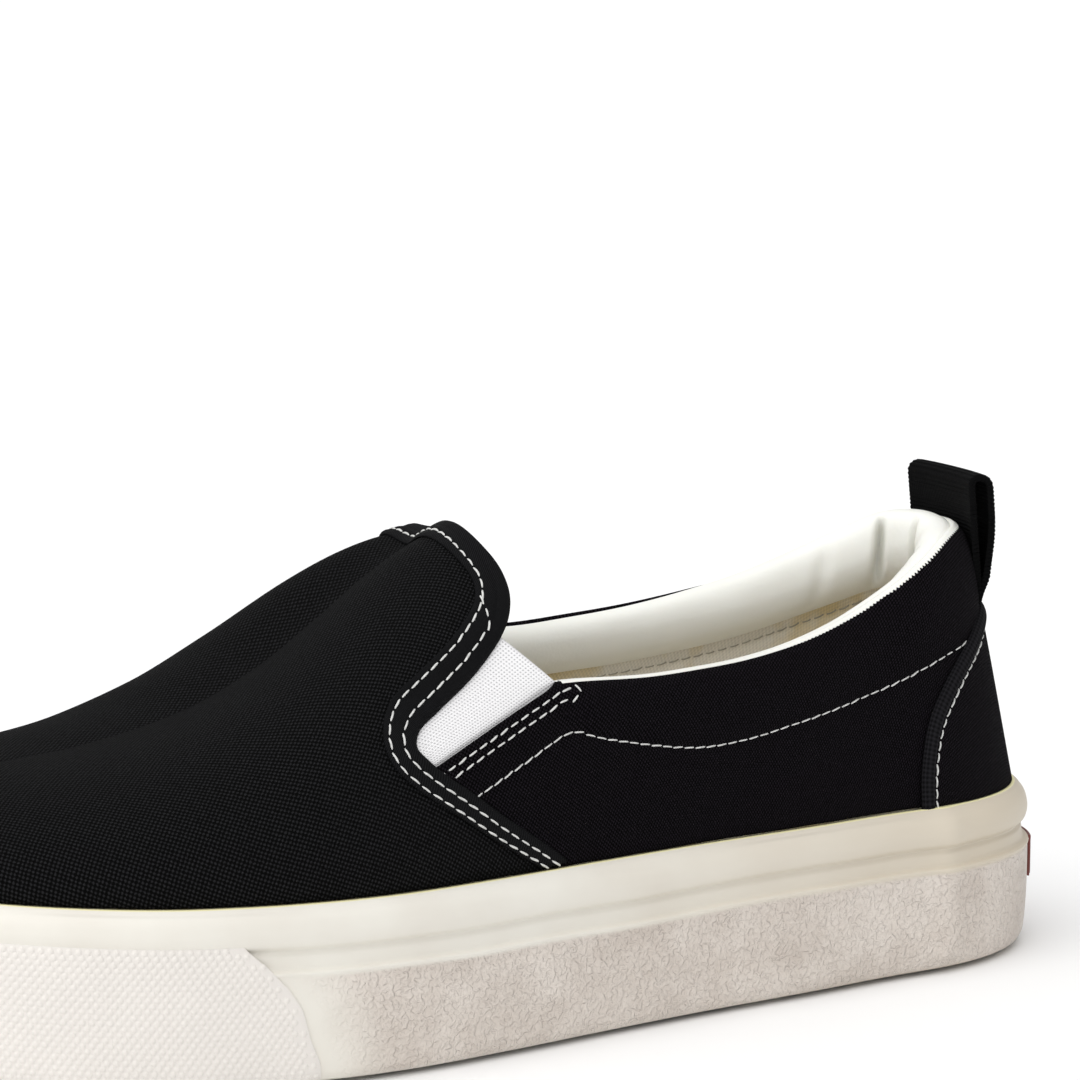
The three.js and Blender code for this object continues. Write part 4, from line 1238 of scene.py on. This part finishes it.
def counter_path(behind, count, stand):
    """Path along the counter's edge, some way behind it, from the lateral foot over the heel."""
    shifted = moved(counter_line, behind)
    back_x = form_point(0.0, 1.0, wall_angle(0.0, 1.0, shifted[:, 1], stand), stand)[:, 0]
    kept = shifted[(shifted[:, 0] > back_x + 0.004) & (shifted[:, 1] > SIDEWALL_HEIGHT + 0.1)]
    kept = respaced(kept, count)
    halves = []
    for s in (1.0, -1.0):
        tau, angle = on_form(kept[:, 0], kept[:, 1], s, stand)
        halves.append(np.stack([tau, np.full_like(tau, s), angle], -1))
    return np.vstack([halves[0], halves[1][::-1]])


low_z = SIDEWALL_HEIGHT + 0.15
edge = counter_path(COUNTER_TAPE * 0.6, COUNTER_EDGE_POINTS, COUNTER_LIFT)
edge_points = form_point(edge[:, 0], edge[:, 1], edge[:, 2], COUNTER_LIFT)
edge_z = edge_points[: COUNTER_EDGE_POINTS + 1, 2]
levels = np.linspace(low_z, edge_z.max() - 0.02, COUNTER_ROWS)
tau_at = np.interp(levels, edge_z, edge[: COUNTER_EDGE_POINTS + 1, 0])
shares = np.concatenate([np.linspace(1, 0, COUNTER_HALF), np.linspace(0, -1, COUNTER_HALF)[1:]])
taus = np.abs(tau_at[:, None] * shares)
sides = np.where(shares < 0, -1.0, 1.0)[None, :] + 0 * taus
angle = wall_angle(taus, sides, levels[:, None], COUNTER_LIFT)
counter = make(
    "heel_counter_panel",
    form_point(taus, sides, angle, COUNTER_LIFT),
    grid_faces(*taus.shape),
    brushed,
    cloth=cloth_map(taus, sides, angle),
)
thicken(counter, COUNTER_THICKNESS)
settle(counter, "canvas", "heel_counter")


def sweep(points, facing, section):
    """Points of a section (across, outward) carried along a path whose facing is given."""
    way = unit(np.gradient(points, axis=0))
    out = unit(facing - (facing * way).sum(1)[:, None] * way)
    across = np.cross(out, way)
    section = np.asarray(section, float)
    return (
        points[:, None, :]
        + across[:, None, :] * section[None, :, 0, None]
        + out[:, None, :] * section[None, :, 1, None]
    )


# Ribbed binding tape: coarse black ribs across its length, with painted shade between the ribs and a
# painted highlight on their tops.
ribbed, tree, shader = new_finish("ribbed_black_tape", {"Roughness": 0.85, "Specular IOR Level": 0.08})
cloth = add(tree, "ShaderNodeUVMap", uv_map="cloth").outputs["UV"]
height = crossed_waves(tree, cloth, TAPE_PITCH, TAPE_RIB, "ADD")
press(tree, shader, height, (0.0, "#020203"), (0.85, "#1D1C1F"), height, 0.25, 0.9)

path = counter_path(COUNTER_TAPE / 2, 90, 0.3)
line = form_point(path[:, 0], path[:, 1], path[:, 2], 0.3)
facing = form_point(path[:, 0], path[:, 1], path[:, 2], 1.3) - line
line[0] -= [0, 0, 1.6]
line[-1] -= [0, 0, 1.6]
turns = np.linspace(0, 2 * np.pi, 20, endpoint=False)
section = np.stack(
    [
        np.sign(np.cos(turns)) * np.abs(np.cos(turns)) ** 0.8 * COUNTER_TAPE / 2,
        0.55 + np.sin(turns) * (COUNTER_TAPE_LIFT - 0.55),
    ],
    -1,
)
section[:, 1] = np.maximum(section[:, 1], 0.05)
tube = sweep(line, facing, section)
length = run_along(line)
girth = turns / (2 * np.pi) * 9
cloth = np.stack(np.broadcast_arrays(length[:, None], girth[None, :]), -1)
tape = make("heel_counter_tape", tube, capped(*tube.shape[:2]), ribbed, cloth=cloth, closed=True)
settle(tape, "canvas", "heel_counter")

# Pull loop: black ribbed webbing folded double and sewn into the back seam above the counter, to
# pull the shoe on by. Its layers part and meet again in the fold.
LOOP_WIDTH = 24.5
LOOP_STAND = 11.0
LOOP_BEND = 3.0
LOOP_STRAP = 1.4
LOOP_SLIT = 3.4
LOOP_PARTING = 1.25
LOOP_LEAN = 0.21
LOOP_FLAT = 1.5
LOOP_FLATTEN = 0.8
LOOP_CLEAR = 0.15
LOOP_EDGE = 0.3
LOOP_FOOT = SIDEWALL_HEIGHT + 0.69 * HEEL_RISE
LOOP_TOP = SIDEWALL_HEIGHT + HEEL_RISE + LOOP_STAND
WEB_PITCH = 0.6
WEB_RIB = 0.95
WEB_RELIEF = 0.2

webbing, tree, shader = new_finish(
    "ribbed_black_webbing", {"Roughness": 0.85, "Specular IOR Level": 0.08}
)
cloth = add(tree, "ShaderNodeUVMap", uv_map="cloth").outputs["UV"]
height = crossed_waves(tree, cloth, WEB_PITCH, WEB_RIB, "ADD")
lint = add(tree, "ShaderNodeTexNoise", {"Vector": cloth, "Scale": 1.3, "Detail": 5.0})
# The ribs' height sets the colour too: painted shade between the webbing's ribs and a painted highlight
# on their tops, with faint lint.
tone = add(tree, "ShaderNodeMath", {0: height, 1: lint.outputs["Fac"]}, operation="MULTIPLY")
press(tree, shader, tone.outputs[0], (0.0, "#020202"), (0.6, "#080809"), height, 0.15, 0.8)

rise = LOOP_TOP - LOOP_BEND - LOOP_FOOT
climb = np.linspace(0, 1, 24)
slit = LOOP_SLIT * np.sin(np.pi / 2 * np.minimum(climb * LOOP_PARTING, 1)) ** 1.5
sewn = 0.2 + 0.8 * np.clip(climb / 0.22, 0, 1)
front_out = (GAP + LOOP_STRAP / 2) * sewn
rear_out = (GAP + 1.5 * LOOP_STRAP) * sewn + slit
middle_out = (front_out[-1] + rear_out[-1]) / 2
half_gap = (rear_out[-1] - front_out[-1]) / 2
bend = np.linspace(np.pi, 0, 16)[1:-1]
profile = np.vstack(
    [
        np.stack([front_out, LOOP_FOOT + climb * rise], -1),
        np.stack(
            [
                middle_out + half_gap * np.cos(bend),
                LOOP_TOP - LOOP_BEND + np.sin(bend) ** 0.8 * (LOOP_BEND - LOOP_STRAP / 2),
            ],
            -1,
        ),
        np.stack([rear_out, LOOP_FOOT + climb * rise], -1)[::-1],
    ]
)
profile = respaced(profile, 260)
length = run_along(profile)
normal = np.gradient(profile, axis=0)
normal = np.stack([-normal[:, 1], normal[:, 0]], -1) / np.linalg.norm(normal, axis=1)[:, None]
profile = profile + normal * (WEB_RELIEF * np.sin(2 * np.pi * length / WEB_RIB))[:, None]
widths = np.linspace(0.5, -0.5, 29) * LOOP_WIDTH
heel_tau = np.linspace(0, 0.3, 400)
heel_wall = form_point(heel_tau, 1.0, wall_angle(heel_tau, 1.0, LOOP_FOOT, 0.0), 0.0)
wall_x = np.interp(np.abs(widths), np.abs(heel_wall[:, 1]), heel_wall[:, 0])
mid_x = heel_wall[0, 0]
share = np.minimum((profile[:, 1] - LOOP_FOOT) / rise, 1)[:, None]
flat = wall_x[None, :] + (mid_x + LOOP_FLAT - wall_x[None, :]) * share * LOOP_FLATTEN
loop_x = flat + LOOP_LEAN * (profile[:, 1] - LOOP_FOOT)[:, None] - profile[:, :1] - LOOP_CLEAR
loop_points = np.stack(
    [loop_x, np.broadcast_to(widths, loop_x.shape), np.broadcast_to(profile[:, 1:], loop_x.shape)], -1
)
loop = make(
    "pull_loop_webbing",
    loop_points,
    grid_faces(*loop_x.shape),
    webbing,
    cloth=np.stack(np.broadcast_arrays(widths[None, :], length[:, None]), -1),
)
thicken(loop, LOOP_STRAP, 0)
round_edges(loop, LOOP_EDGE)
settle(loop, "webbing", "pull_loop")

# Inner lining: thin off-white cotton drill glued to the inside of the whole upper, with yellowish
# glue showing through in places.
LINING_SINK = 1.75
LINING_CLOTH = 0.4
# Rows of the quarter that the lining stops below the collar.
LINING_SHORT = 7
LINING_BACK = 1.2
LINING_ROWS = 40
LINING_COLUMNS = 80
FLOOR_HEIGHT = 24.0
lining_cloth, tree, shader = new_finish("off_white_cotton_drill", {"Roughness": 0.9})
threads, cloth = weave(tree, 0.6, 0.4)
place = add(tree, "ShaderNodeTexCoord").outputs["Object"]
stain = add(tree, "ShaderNodeTexNoise", {"Vector": place, "Scale": 42.0, "Detail": 4.0, "Roughness": 0.6})
spots = add(tree, "ShaderNodeValToRGB", {"Fac": stain.outputs["Fac"]})
spots.color_ramp.elements[0].position = 0.5
spots.color_ramp.elements[0].color = to_linear("#EFEADF")
spots.color_ramp.elements[1].position = 0.66
spots.color_ramp.elements[1].color = to_linear("#E3D1A6")
shade = add(tree, "ShaderNodeMapRange", {"Value": threads, "To Min": 0.82, "To Max": 1.05})
tinted = {0: spots.outputs["Color"], "Scale": shade.outputs[0]}
mix = add(tree, "ShaderNodeVectorMath", tinted, operation="SCALE")
tree.links.new(mix.outputs[0], shader.inputs["Base Color"])
bump = add(tree, "ShaderNodeBump", {"Height": threads, "Distance": 0.00015, "Strength": 0.6})
tree.links.new(bump.outputs["Normal"], shader.inputs["Normal"])

low_levels = np.linspace(FLOOR_HEIGHT + 1.5, SIDEWALL_HEIGHT - 0.5, 6)


def hung_down(foot, flat, way):
    """Rows that carry a lining's foot straight down to the insole, with their cloth places."""
    below = np.stack([foot * [1, 1, 0] + [0, 0, z] for z in low_levels])
    drop = (SIDEWALL_HEIGHT - low_levels)[:, None, None] * np.array([0, way])
    return below, flat[None] + drop


panels = []
for s in (1.0, -1.0):
    above = [part[:-LINING_SHORT] for part in quarter_grid(s, out=-LINING_SINK, swell=False)]
    below = hung_down(above[0][0], above[1][0], s)
    panels.append((*(np.concatenate(pair) for pair in zip(below, above)), s < 0))
angle, side = over_the_ridge(LINING_ROWS)
tau_edge = ahead_station(angle, side, LINING_BACK)
tau = tau_edge[:, None] + (1 - tau_edge[:, None]) * np.linspace(0, 1, LINING_COLUMNS)
over = form_point(tau, side[:, None], angle[:, None], -LINING_SINK)
above = over, cloth_map(tau, side[:, None], angle[:, None])
first = hung_down(above[0][0], above[1][0], 1.0)
last = hung_down(above[0][-1], above[1][-1], -1.0)
panels.append((*(np.concatenate([a, b, c[::-1]]) for a, b, c in zip(first, above, last)), True))
inner_lining = panelled("inner_lining_cloth", panels, lining_cloth)
thicken(inner_lining, LINING_CLOTH)
settle(inner_lining, "insole_cloth", "upper")

# Insole: a moulded foam board covered with the same off-white cloth, cupped a little at the heel.
INSOLE_THICKNESS = 3.6
INSOLE_TOP = FLOOR_HEIGHT + 4.0
INSOLE_INSET = 2.2
INSOLE_SPINE = (34, 250)
INSOLE_SPINE_SIDE = -4.0
INSOLE_CUP = 1.6
INSOLE_CUP_REACH = 150
INSOLE_ROLL = 0.8
INSOLE_STATIONS = 121
INSOLE_ROWS = 26
cover = np.linspace(0, 1, INSOLE_ROWS)
tau = np.linspace(0, 1, INSOLE_STATIONS)
panels = []
for s in (1.0, -1.0):
    rim = sole_point(tau, s, -UPPER_INSET - INSOLE_INSET, INSOLE_TOP)
    spine_x = np.clip(rim[:, 0], *INSOLE_SPINE)
    spine_y = np.full_like(spine_x, INSOLE_SPINE_SIDE)
    spine = np.stack([spine_x, spine_y, INSOLE_TOP + lift(rim[:, 0])], -1)
    grid = spine[:, None, :] + (rim - spine)[:, None, :] * cover[None, :, None]
    cup = INSOLE_CUP * cover**4 * np.clip(1 - rim[:, :1] / INSOLE_CUP_REACH, 0, 1)
    drop = INSOLE_ROLL * np.clip((cover - 0.96) / 0.04, 0, 1) ** 2
    grid[..., 2] += cup - drop
    panels.append((grid, grid[..., :2], s < 0))
insole = panelled("insole_board", panels, lining_cloth)
if insole.data.polygons[0].normal.z < 0:
    insole.data.flip_normals()
thicken(insole, INSOLE_THICKNESS)
settle(insole, "insole_cloth", "insole")

# Padded collar lining: ivory synthetic leather over foam, sewn to the collar's edge, rolled over
# it and stitched down inside. It puckers into folds at the two heel corners.
WALL = 1.8
PAD_THICKNESS = 8.5
PAD_STATIONS = 260
# Share of the thickness inward, height as a share of the lining's depth.
PAD_SECTION = [
    (0.0, -1.0),
    (0.0, -0.47),
    (0.0, -0.04),
    (0.1, 0.03),
    (0.3, 0.035),
    (0.6, -0.03),
    (0.86, -0.2),
    (1.0, -0.45),
    (0.88, -0.74),
    (0.45, -0.96),
]
# Share of the length, share of the pad's thickness, depth of the lining.
PAD_ALONG = [
    (0.0, 1.0, 16.0),
    (0.1, 0.94, 15.4),
    (0.2, 0.77, 13.8),
    (0.35, 0.59, 12.6),
    (0.5, 0.47, 12.2),
]
PAD_DEPTH = 15.0
# Folds: place round the collar from the back seam, positive on the lateral side, width, depth share.
FOLDS = [
    (-34.0, 2.6, 0.12),
    (-17.0, 1.3, 0.72),
    (-2.5, 1.5, 0.32),
    (20.0, 2.0, 0.34),
    (36.0, 2.4, 0.3),
]
# Distance round from the back seam, extra height of the pad's crest, slope of its top inward.
PAD_CREST = [
    (-160.0, -1.1, 0.0),
    (-100.0, -1.0, 0.0),
    (-74.0, -0.5, 0.0),
    (-46.0, 0.9, 0.0),
    (-22.0, 1.5, 0.0),
    (-6.0, 0.9, 0.0),
    (10.0, -0.2, -0.12),
    (24.0, -0.5, -0.2),
    (160.0, -0.5, -0.2),
]

leather, tree, shader = new_finish(
    "ivory_synthetic_leather",
    {
        "Roughness": 0.5,
        "IOR": 1.5,
        "Subsurface Weight": 0.05,
        "Subsurface Radius": (0.002, 0.0015, 0.001),
    },
)
place = add(tree, "ShaderNodeTexCoord").outputs["Object"]
mottle = add(tree, "ShaderNodeTexNoise", {"Vector": place, "Scale": 30.0, "Detail": 3.0}).outputs["Fac"]
pores = add(tree, "ShaderNodeTexVoronoi", {"Vector": place, "Scale": 1400.0}).outputs["Distance"]
press(tree, shader, mottle, (0.3, "#E9E9E2"), (0.7, "#F1F1EB"), pores, 0.04, 0.5)


def closed_curve(points, count):
    """Smooth closed curve through points, evenly spaced."""
    p = np.asarray(points, float)
    u = np.linspace(0, 1, 12, endpoint=False)[:, None]
    pieces = []
    for i in range(len(p)):
        a, b, c, d = p[i - 1], p[i], p[(i + 1) % len(p)], p[(i + 2) % len(p)]
        start, end = (c - a) / 2, (d - b) / 2
        pieces.append(cubic(u, b, start, c, end))
    line = np.vstack(pieces + [p[:1]])
    return respaced(line, count)[:-1]


def collar_station(x, side):
    """Station whose wall stands at x on the collar line."""
    low, high = 0.0, 0.8
    for _ in range(BISECTIONS):
        tau = (low + high) / 2
        angle = wall_angle(tau, side, collar_height(x, side), 0.0)
        if form_point(tau, side, angle, 0.0)[0] < x:
            low = tau
        else:
            high = tau
    return tau


def collar_rim(tau, side):
    """The collar line at its stations: x, height and the distance along it."""
    z = np.full_like(tau, SIDEWALL_HEIGHT + 40)
    for _ in range(4):
        x = form_point(tau, side, wall_angle(tau, side, z, 0.0), 0.0)[:, 0]
        z = collar_height(x, side)
    return x, z, run_along(form_point(tau, side, wall_angle(tau, side, z, 0.0), 0.0))


corner_x = COLLAR[0][0] * SOLE_LENGTH - 1.5
ends = [collar_station(corner_x, s) for s in (1.0, -1.0)]
half = PAD_STATIONS // 2
tau = np.concatenate([np.linspace(ends[0], 0, half + 1), np.linspace(0, ends[1], half + 1)[1:]])
side = np.concatenate([np.ones(half + 1), -np.ones(half)])
x, z, run = collar_rim(tau, side)
collar_tau, collar_side, collar_x, collar_z = tau, side, x, z
from_back = run[half] - run
section = closed_curve([(a * PAD_THICKNESS, b * PAD_DEPTH) for a, b in PAD_SECTION], 44)
thick = table_at(PAD_ALONG, 1, x / SOLE_LENGTH)[:, None]
deep = table_at(PAD_ALONG, 2, x / SOLE_LENGTH)[:, None] / PAD_DEPTH
inward, rise_at = section[None, :, 0], section[None, :, 1]
belly = np.clip(inward / PAD_THICKNESS, 0, 1) * np.clip((2 - rise_at) / 5, 0, 1)
soft = np.ones_like(thick * inward)
for where, width, depth in FOLDS:
    lean = where + rise_at * 0.12
    soft -= depth * belly * np.exp(-(((from_back[:, None] - lean) / width) ** 2))
crown = 1 + 0.05 * ripple(from_back, 31, 6, 70)[:, None] * belly
pad_out = -WALL - GAP - inward * thick * soft * crown
near_top = np.clip((rise_at + 5) / 5, 0, 1)
crest = table_at(PAD_CREST, 1, from_back)[:, None] + table_at(PAD_CREST, 2, from_back)[:, None] * inward
pad_z = z[:, None] + np.where(rise_at < 0, rise_at * deep, rise_at) + crest * near_top
angle = wall_angle(tau[:, None], side[:, None], pad_z, pad_out)
pad_points = form_point(tau[:, None], side[:, None], angle, pad_out)
pad = make("padded_collar_lining", pad_points, capped(*pad_points.shape[:2]), leather, closed=True)
settle(pad, "lining_leather", "collar_lining")

# Collar edge: the lining's raw edge shows outside as a thin ivory line, overlocked so closely near
# the heel that its lower border is toothed.
EDGE_LOW = 0.32
EDGE_TOOTH = 0.34
TOOTH_PITCH = 1.05
EDGE_STATIONS = 1500
EDGE_ENDS = 0.25
EDGE_SHEET = 0.2

shares = np.linspace(0, 1, EDGE_STATIONS)
signed = np.interp(shares, np.linspace(0, 1, len(collar_tau)), collar_tau * collar_side)
tau, side = np.abs(signed), np.where(signed < 0, -1.0, 1.0)
x, z, run = collar_rim(tau, side)
toothed = np.clip((0.27 - x / SOLE_LENGTH) / 0.1, 0, 1) * (0.7 + 0.3 * ripple(run, 43, 9, 40))
bite = np.clip(1.3 * np.sin(2 * np.pi * run / TOOTH_PITCH + 1.4 * ripple(run, 41, 9, 50)), -1, 1)
low = EDGE_LOW + toothed * (0.1 + EDGE_TOOTH * 0.5 * (1 + bite))
sink = np.where(side > 0, 0, np.clip((x - EDGE_ENDS * SOLE_LENGTH + 14) / 12, 0, 1))
rows = []
for drop, stand in ((low, 0.06), (low * 0.6, 0.2), (low * 0.1, 0.24)):
    level = z - drop * (1 - sink) - 0.3 * sink
    out = quarter_swell(x, level, side) + stand - 0.6 * sink
    rows.append(form_point(tau, side, wall_angle(tau, side, level, out), out))
for climb, out in ((0.12, -0.9), (0.1, -1.6), (-0.9, -2.3)):
    level = z + climb - 0.5 * sink
    rows.append(form_point(tau, side, wall_angle(tau, side, level, out), out))
shown = np.stack(rows)[:, (side > 0) | (x < EDGE_ENDS * SOLE_LENGTH)]
edge = make("collar_edge_fold", shown, grid_faces(*shown.shape[:2]), leather)
thicken(edge, EDGE_SHEET)
settle(edge, "lining_leather", "collar_lining")

# Seams: white polyester thread in lockstitch, about three millimetres a stitch; grey thread inside.
STITCH = 3.0
THREAD = 0.42
STRAY_TURN = 0.09
# Height at which the binding's second row turns into the first, as a share of the heel rise.
SECOND_ROW_TOP = 0.822
thread, tree, shader = new_finish("white_polyester_thread", {"Roughness": 0.6})
place = add(tree, "ShaderNodeTexCoord").outputs["Object"]
fray = add(tree, "ShaderNodeTexNoise", {"Vector": place, "Scale": 1500.0, "Detail": 2.0}).outputs["Fac"]
press(tree, shader, fray, (0.0, "#9D9D9B"), (0.6, "#DADAD7"), fray, 0.05, 0.6)

grey_thread, tree, shader = new_finish("grey_polyester_thread", {"Roughness": 0.65})
place = add(tree, "ShaderNodeTexCoord").outputs["Object"]
fray = add(tree, "ShaderNodeTexNoise", {"Vector": place, "Scale": 1500.0, "Detail": 2.0})
tone = add(tree, "ShaderNodeValToRGB", {"Fac": fray.outputs["Fac"]})
tone.color_ramp.elements[0].color = to_linear("#918C7F")
tone.color_ramp.elements[1].color = to_linear("#B4AFA0")
tree.links.new(tone.outputs["Color"], shader.inputs["Base Color"])


def stitch_tree():
    """Geometry nodes that lay bowed stitches along a path, each turned to the path and its facing."""
    group, given = new_scatter("stitches", ("Pitch", "Length", "Width", "Turn"), "Thread")
    curve = add(group, "GeometryNodeMeshToCurve", {"Mesh": given["Geometry"]})
    pitch = {"Curve": curve.outputs["Curve"], "Length": given["Pitch"]}
    spaced = add(group, "GeometryNodeResampleCurve", pitch, mode="LENGTH")
    tangent = add(group, "GeometryNodeInputTangent")
    facing = add(group, "GeometryNodeInputNamedAttribute", {"Name": "face"}, data_type="FLOAT_VECTOR")
    lie = add(group, "FunctionNodeAlignRotationToVector", {"Vector": tangent.outputs[0]}, axis="X")
    up = {"Rotation": lie.outputs["Rotation"], "Vector": facing.outputs["Attribute"]}
    stand = add(group, "FunctionNodeAlignRotationToVector", up, axis="Z", pivot_axis="X")
    strays = {2: -STRAY_TURN, 3: STRAY_TURN, "Seed": given["Seed"]}
    stray = add(group, "FunctionNodeRandomValue", strays, data_type="FLOAT")
    spin = add(group, "ShaderNodeMath", {0: stray.outputs[1], 1: given["Turn"]}, operation="ADD")
    about = add(group, "FunctionNodeAxisAngleToRotation", {"Axis": (0, 0, 1), "Angle": spin.outputs[0]})
    turns = {"Rotation": stand.outputs["Rotation"], "Rotate By": about.outputs[0]}
    turned = add(group, "FunctionNodeRotateRotation", turns, rotation_space="LOCAL").outputs["Rotation"]
    # A stitch is a bow of thread whose two ends dip into the cloth.
    sizes = {"reach": ("Length", 0.5), "back": ("Length", -0.5), "dip": ("Width", -0.55)}
    sizes |= {"bow": ("Width", 0.95), "half_width": ("Width", 0.5)}
    part = {}
    for label, (whole, share) in sizes.items():
        scaled = add(group, "ShaderNodeMath", {0: given[whole], 1: share}, operation="MULTIPLY")
        part[label] = scaled.outputs[0]
    ends = {"Resolution": 5}
    for label, spot in (
        ("Start", {"X": part["back"], "Z": part["dip"]}),
        ("Middle", {"Z": part["bow"]}),
        ("End", {"X": part["reach"], "Z": part["dip"]}),
    ):
        ends[label] = add(group, "ShaderNodeCombineXYZ", spot).outputs[0]
    arc = add(group, "GeometryNodeCurveQuadraticBezier", ends)
    round_thread = {"Resolution": 6, "Radius": part["half_width"]}
    outline_of = add(group, "GeometryNodeCurvePrimitiveCircle", round_thread, mode="RADIUS")
    bowed = {"Curve": arc.outputs[0], "Profile Curve": outline_of.outputs["Curve"], "Fill Caps": True}
    stitch = add(group, "GeometryNodeCurveToMesh", bowed).outputs["Mesh"]
    strew(group, given, spaced.outputs["Curve"], stitch, turned, 0.9, 1.08, "Thread")
    return group


stitches = stitch_tree()


def sew(name, paths, slot, nodes, pitch=STITCH, length=2.2, width=THREAD, turn=0.06, seed=5, yarn=None):
    """Sews rows of stitches along paths of (points, facing)."""
    points = np.concatenate([p for p, _ in paths])
    facing = np.concatenate([f for _, f in paths])
    edges = []
    start = 0
    for p, _ in paths:
        edges += [(start + i, start + i + 1) for i in range(len(p) - 1)]
        start += len(p)
    values = {"Pitch": pitch / 1000, "Length": length / 1000, "Width": width / 1000}
    values |= {"Turn": turn, "Seed": seed}
    row = grow(name, points, edges, facing, stitches, values, yarn or thread)
    settle(row, slot, *nodes)
    return row


def path_on(tau, side, angle, out):
    """Path on the form with its facing, from stations and angles."""
    here = form_point(tau, side, angle, out)
    away = form_point(tau, side, angle, np.asarray(out) + 1.0) - here
    return here, unit(away)


def path_on_quarter(seen, side):
    """Path on the swollen quarter through side-view points."""
    stand = quarter_swell(seen[:, 0], seen[:, 1], side) + 0.12
    tau, angle = on_form(seen[:, 0], seen[:, 1], float(side), stand)
    return path_on(tau, float(side), angle, stand)


angle, side = over_the_ridge(BINDING_ROWS)
angle = np.maximum(angle, 0.006)
tau = binding_at(angle, side, ROW_SHARES[0])
rows = [path_on(tau, side, angle, 0.92)]
for s in (1.0, -1.0):
    angles = np.linspace(0.006, np.pi / 2, 160)
    tau = binding_at(angles, s, ROW_SHARES[1])
    rises = rise_of(form_point(tau, s, angles, 0.0))
    kept = rises < SECOND_ROW_TOP
    second = path_on(tau[kept], s, angles[kept], 0.94)
    top = angles[kept][-1]
    shares = np.linspace(ROW_SHARES[1], ROW_SHARES[0], 5)
    climbs = np.linspace(top + 0.01, top + 0.12, 5)
    tau = np.array([float(binding_at(np.array([a]), s, v)[0]) for a, v in zip(climbs, shares)])
    box = path_on(tau, s, climbs, 1.02)
    rows.append([np.vstack([part, end]) for part, end in zip(second, box)])
sew("binding_stitches", rows, "twill", ["vamp_binding"], length=2.3, width=0.46)

rows = []
for s in (1.0, -1.0):
    boxed = []
    for d in HEM_ROWS:
        line = moved(hem_line, d)
        ahead = np.interp(line[:, 1], lap_line[::-1, 1], lap_line[::-1, 0])
        line = line[(line[:, 0] < ahead + 1) & (line[:, 0] > gore_line[-1, 0] - 5.2)]
        boxed.append(line)
    rows.append(path_on_quarter(respaced(np.vstack([boxed[0], boxed[1][::-1]]), 140), s))
sew("hem_stitches", rows, "canvas", ["upper"], length=2.1, pitch=2.9, seed=8)

rows = []
for s in (1.0, -1.0):
    line = padding_line[padding_line[:, 0] > 0.085 * SOLE_LENGTH]
    rows.append(path_on_quarter(respaced(line, 160), s))
sew("padding_stitches", rows, "canvas", ["upper"], length=2.4, pitch=2.9, width=0.36, seed=11)

path = counter_path(COUNTER_ROW, 90, COUNTER_LIFT)
row = path_on(path[:, 0], path[:, 1], path[:, 2], COUNTER_LIFT + 0.12)
sew("counter_stitches", [row], "canvas", ["heel_counter"], pitch=2.6, length=2.1, width=0.42, seed=13)

SEAM_BELOW = 3.0
rows = []
for s, part in ((1.0, slice(0, half + 1)), (-1.0, slice(half, None))):
    deep_here = table_at(PAD_ALONG, 2, collar_x[part] / SOLE_LENGTH)
    seam_z = collar_z[part] - deep_here - SEAM_BELOW
    sunk = np.full(seam_z.shape, -LINING_SINK - LINING_CLOTH - 0.12)
    angle = wall_angle(collar_tau[part], s, seam_z, sunk)
    here, away = path_on(collar_tau[part], s, angle, sunk)
    rows.append((here, -away))
sew("lining_stitches", rows, "lining_leather", ["collar_lining"], width=0.32, seed=17, yarn=grey_thread)
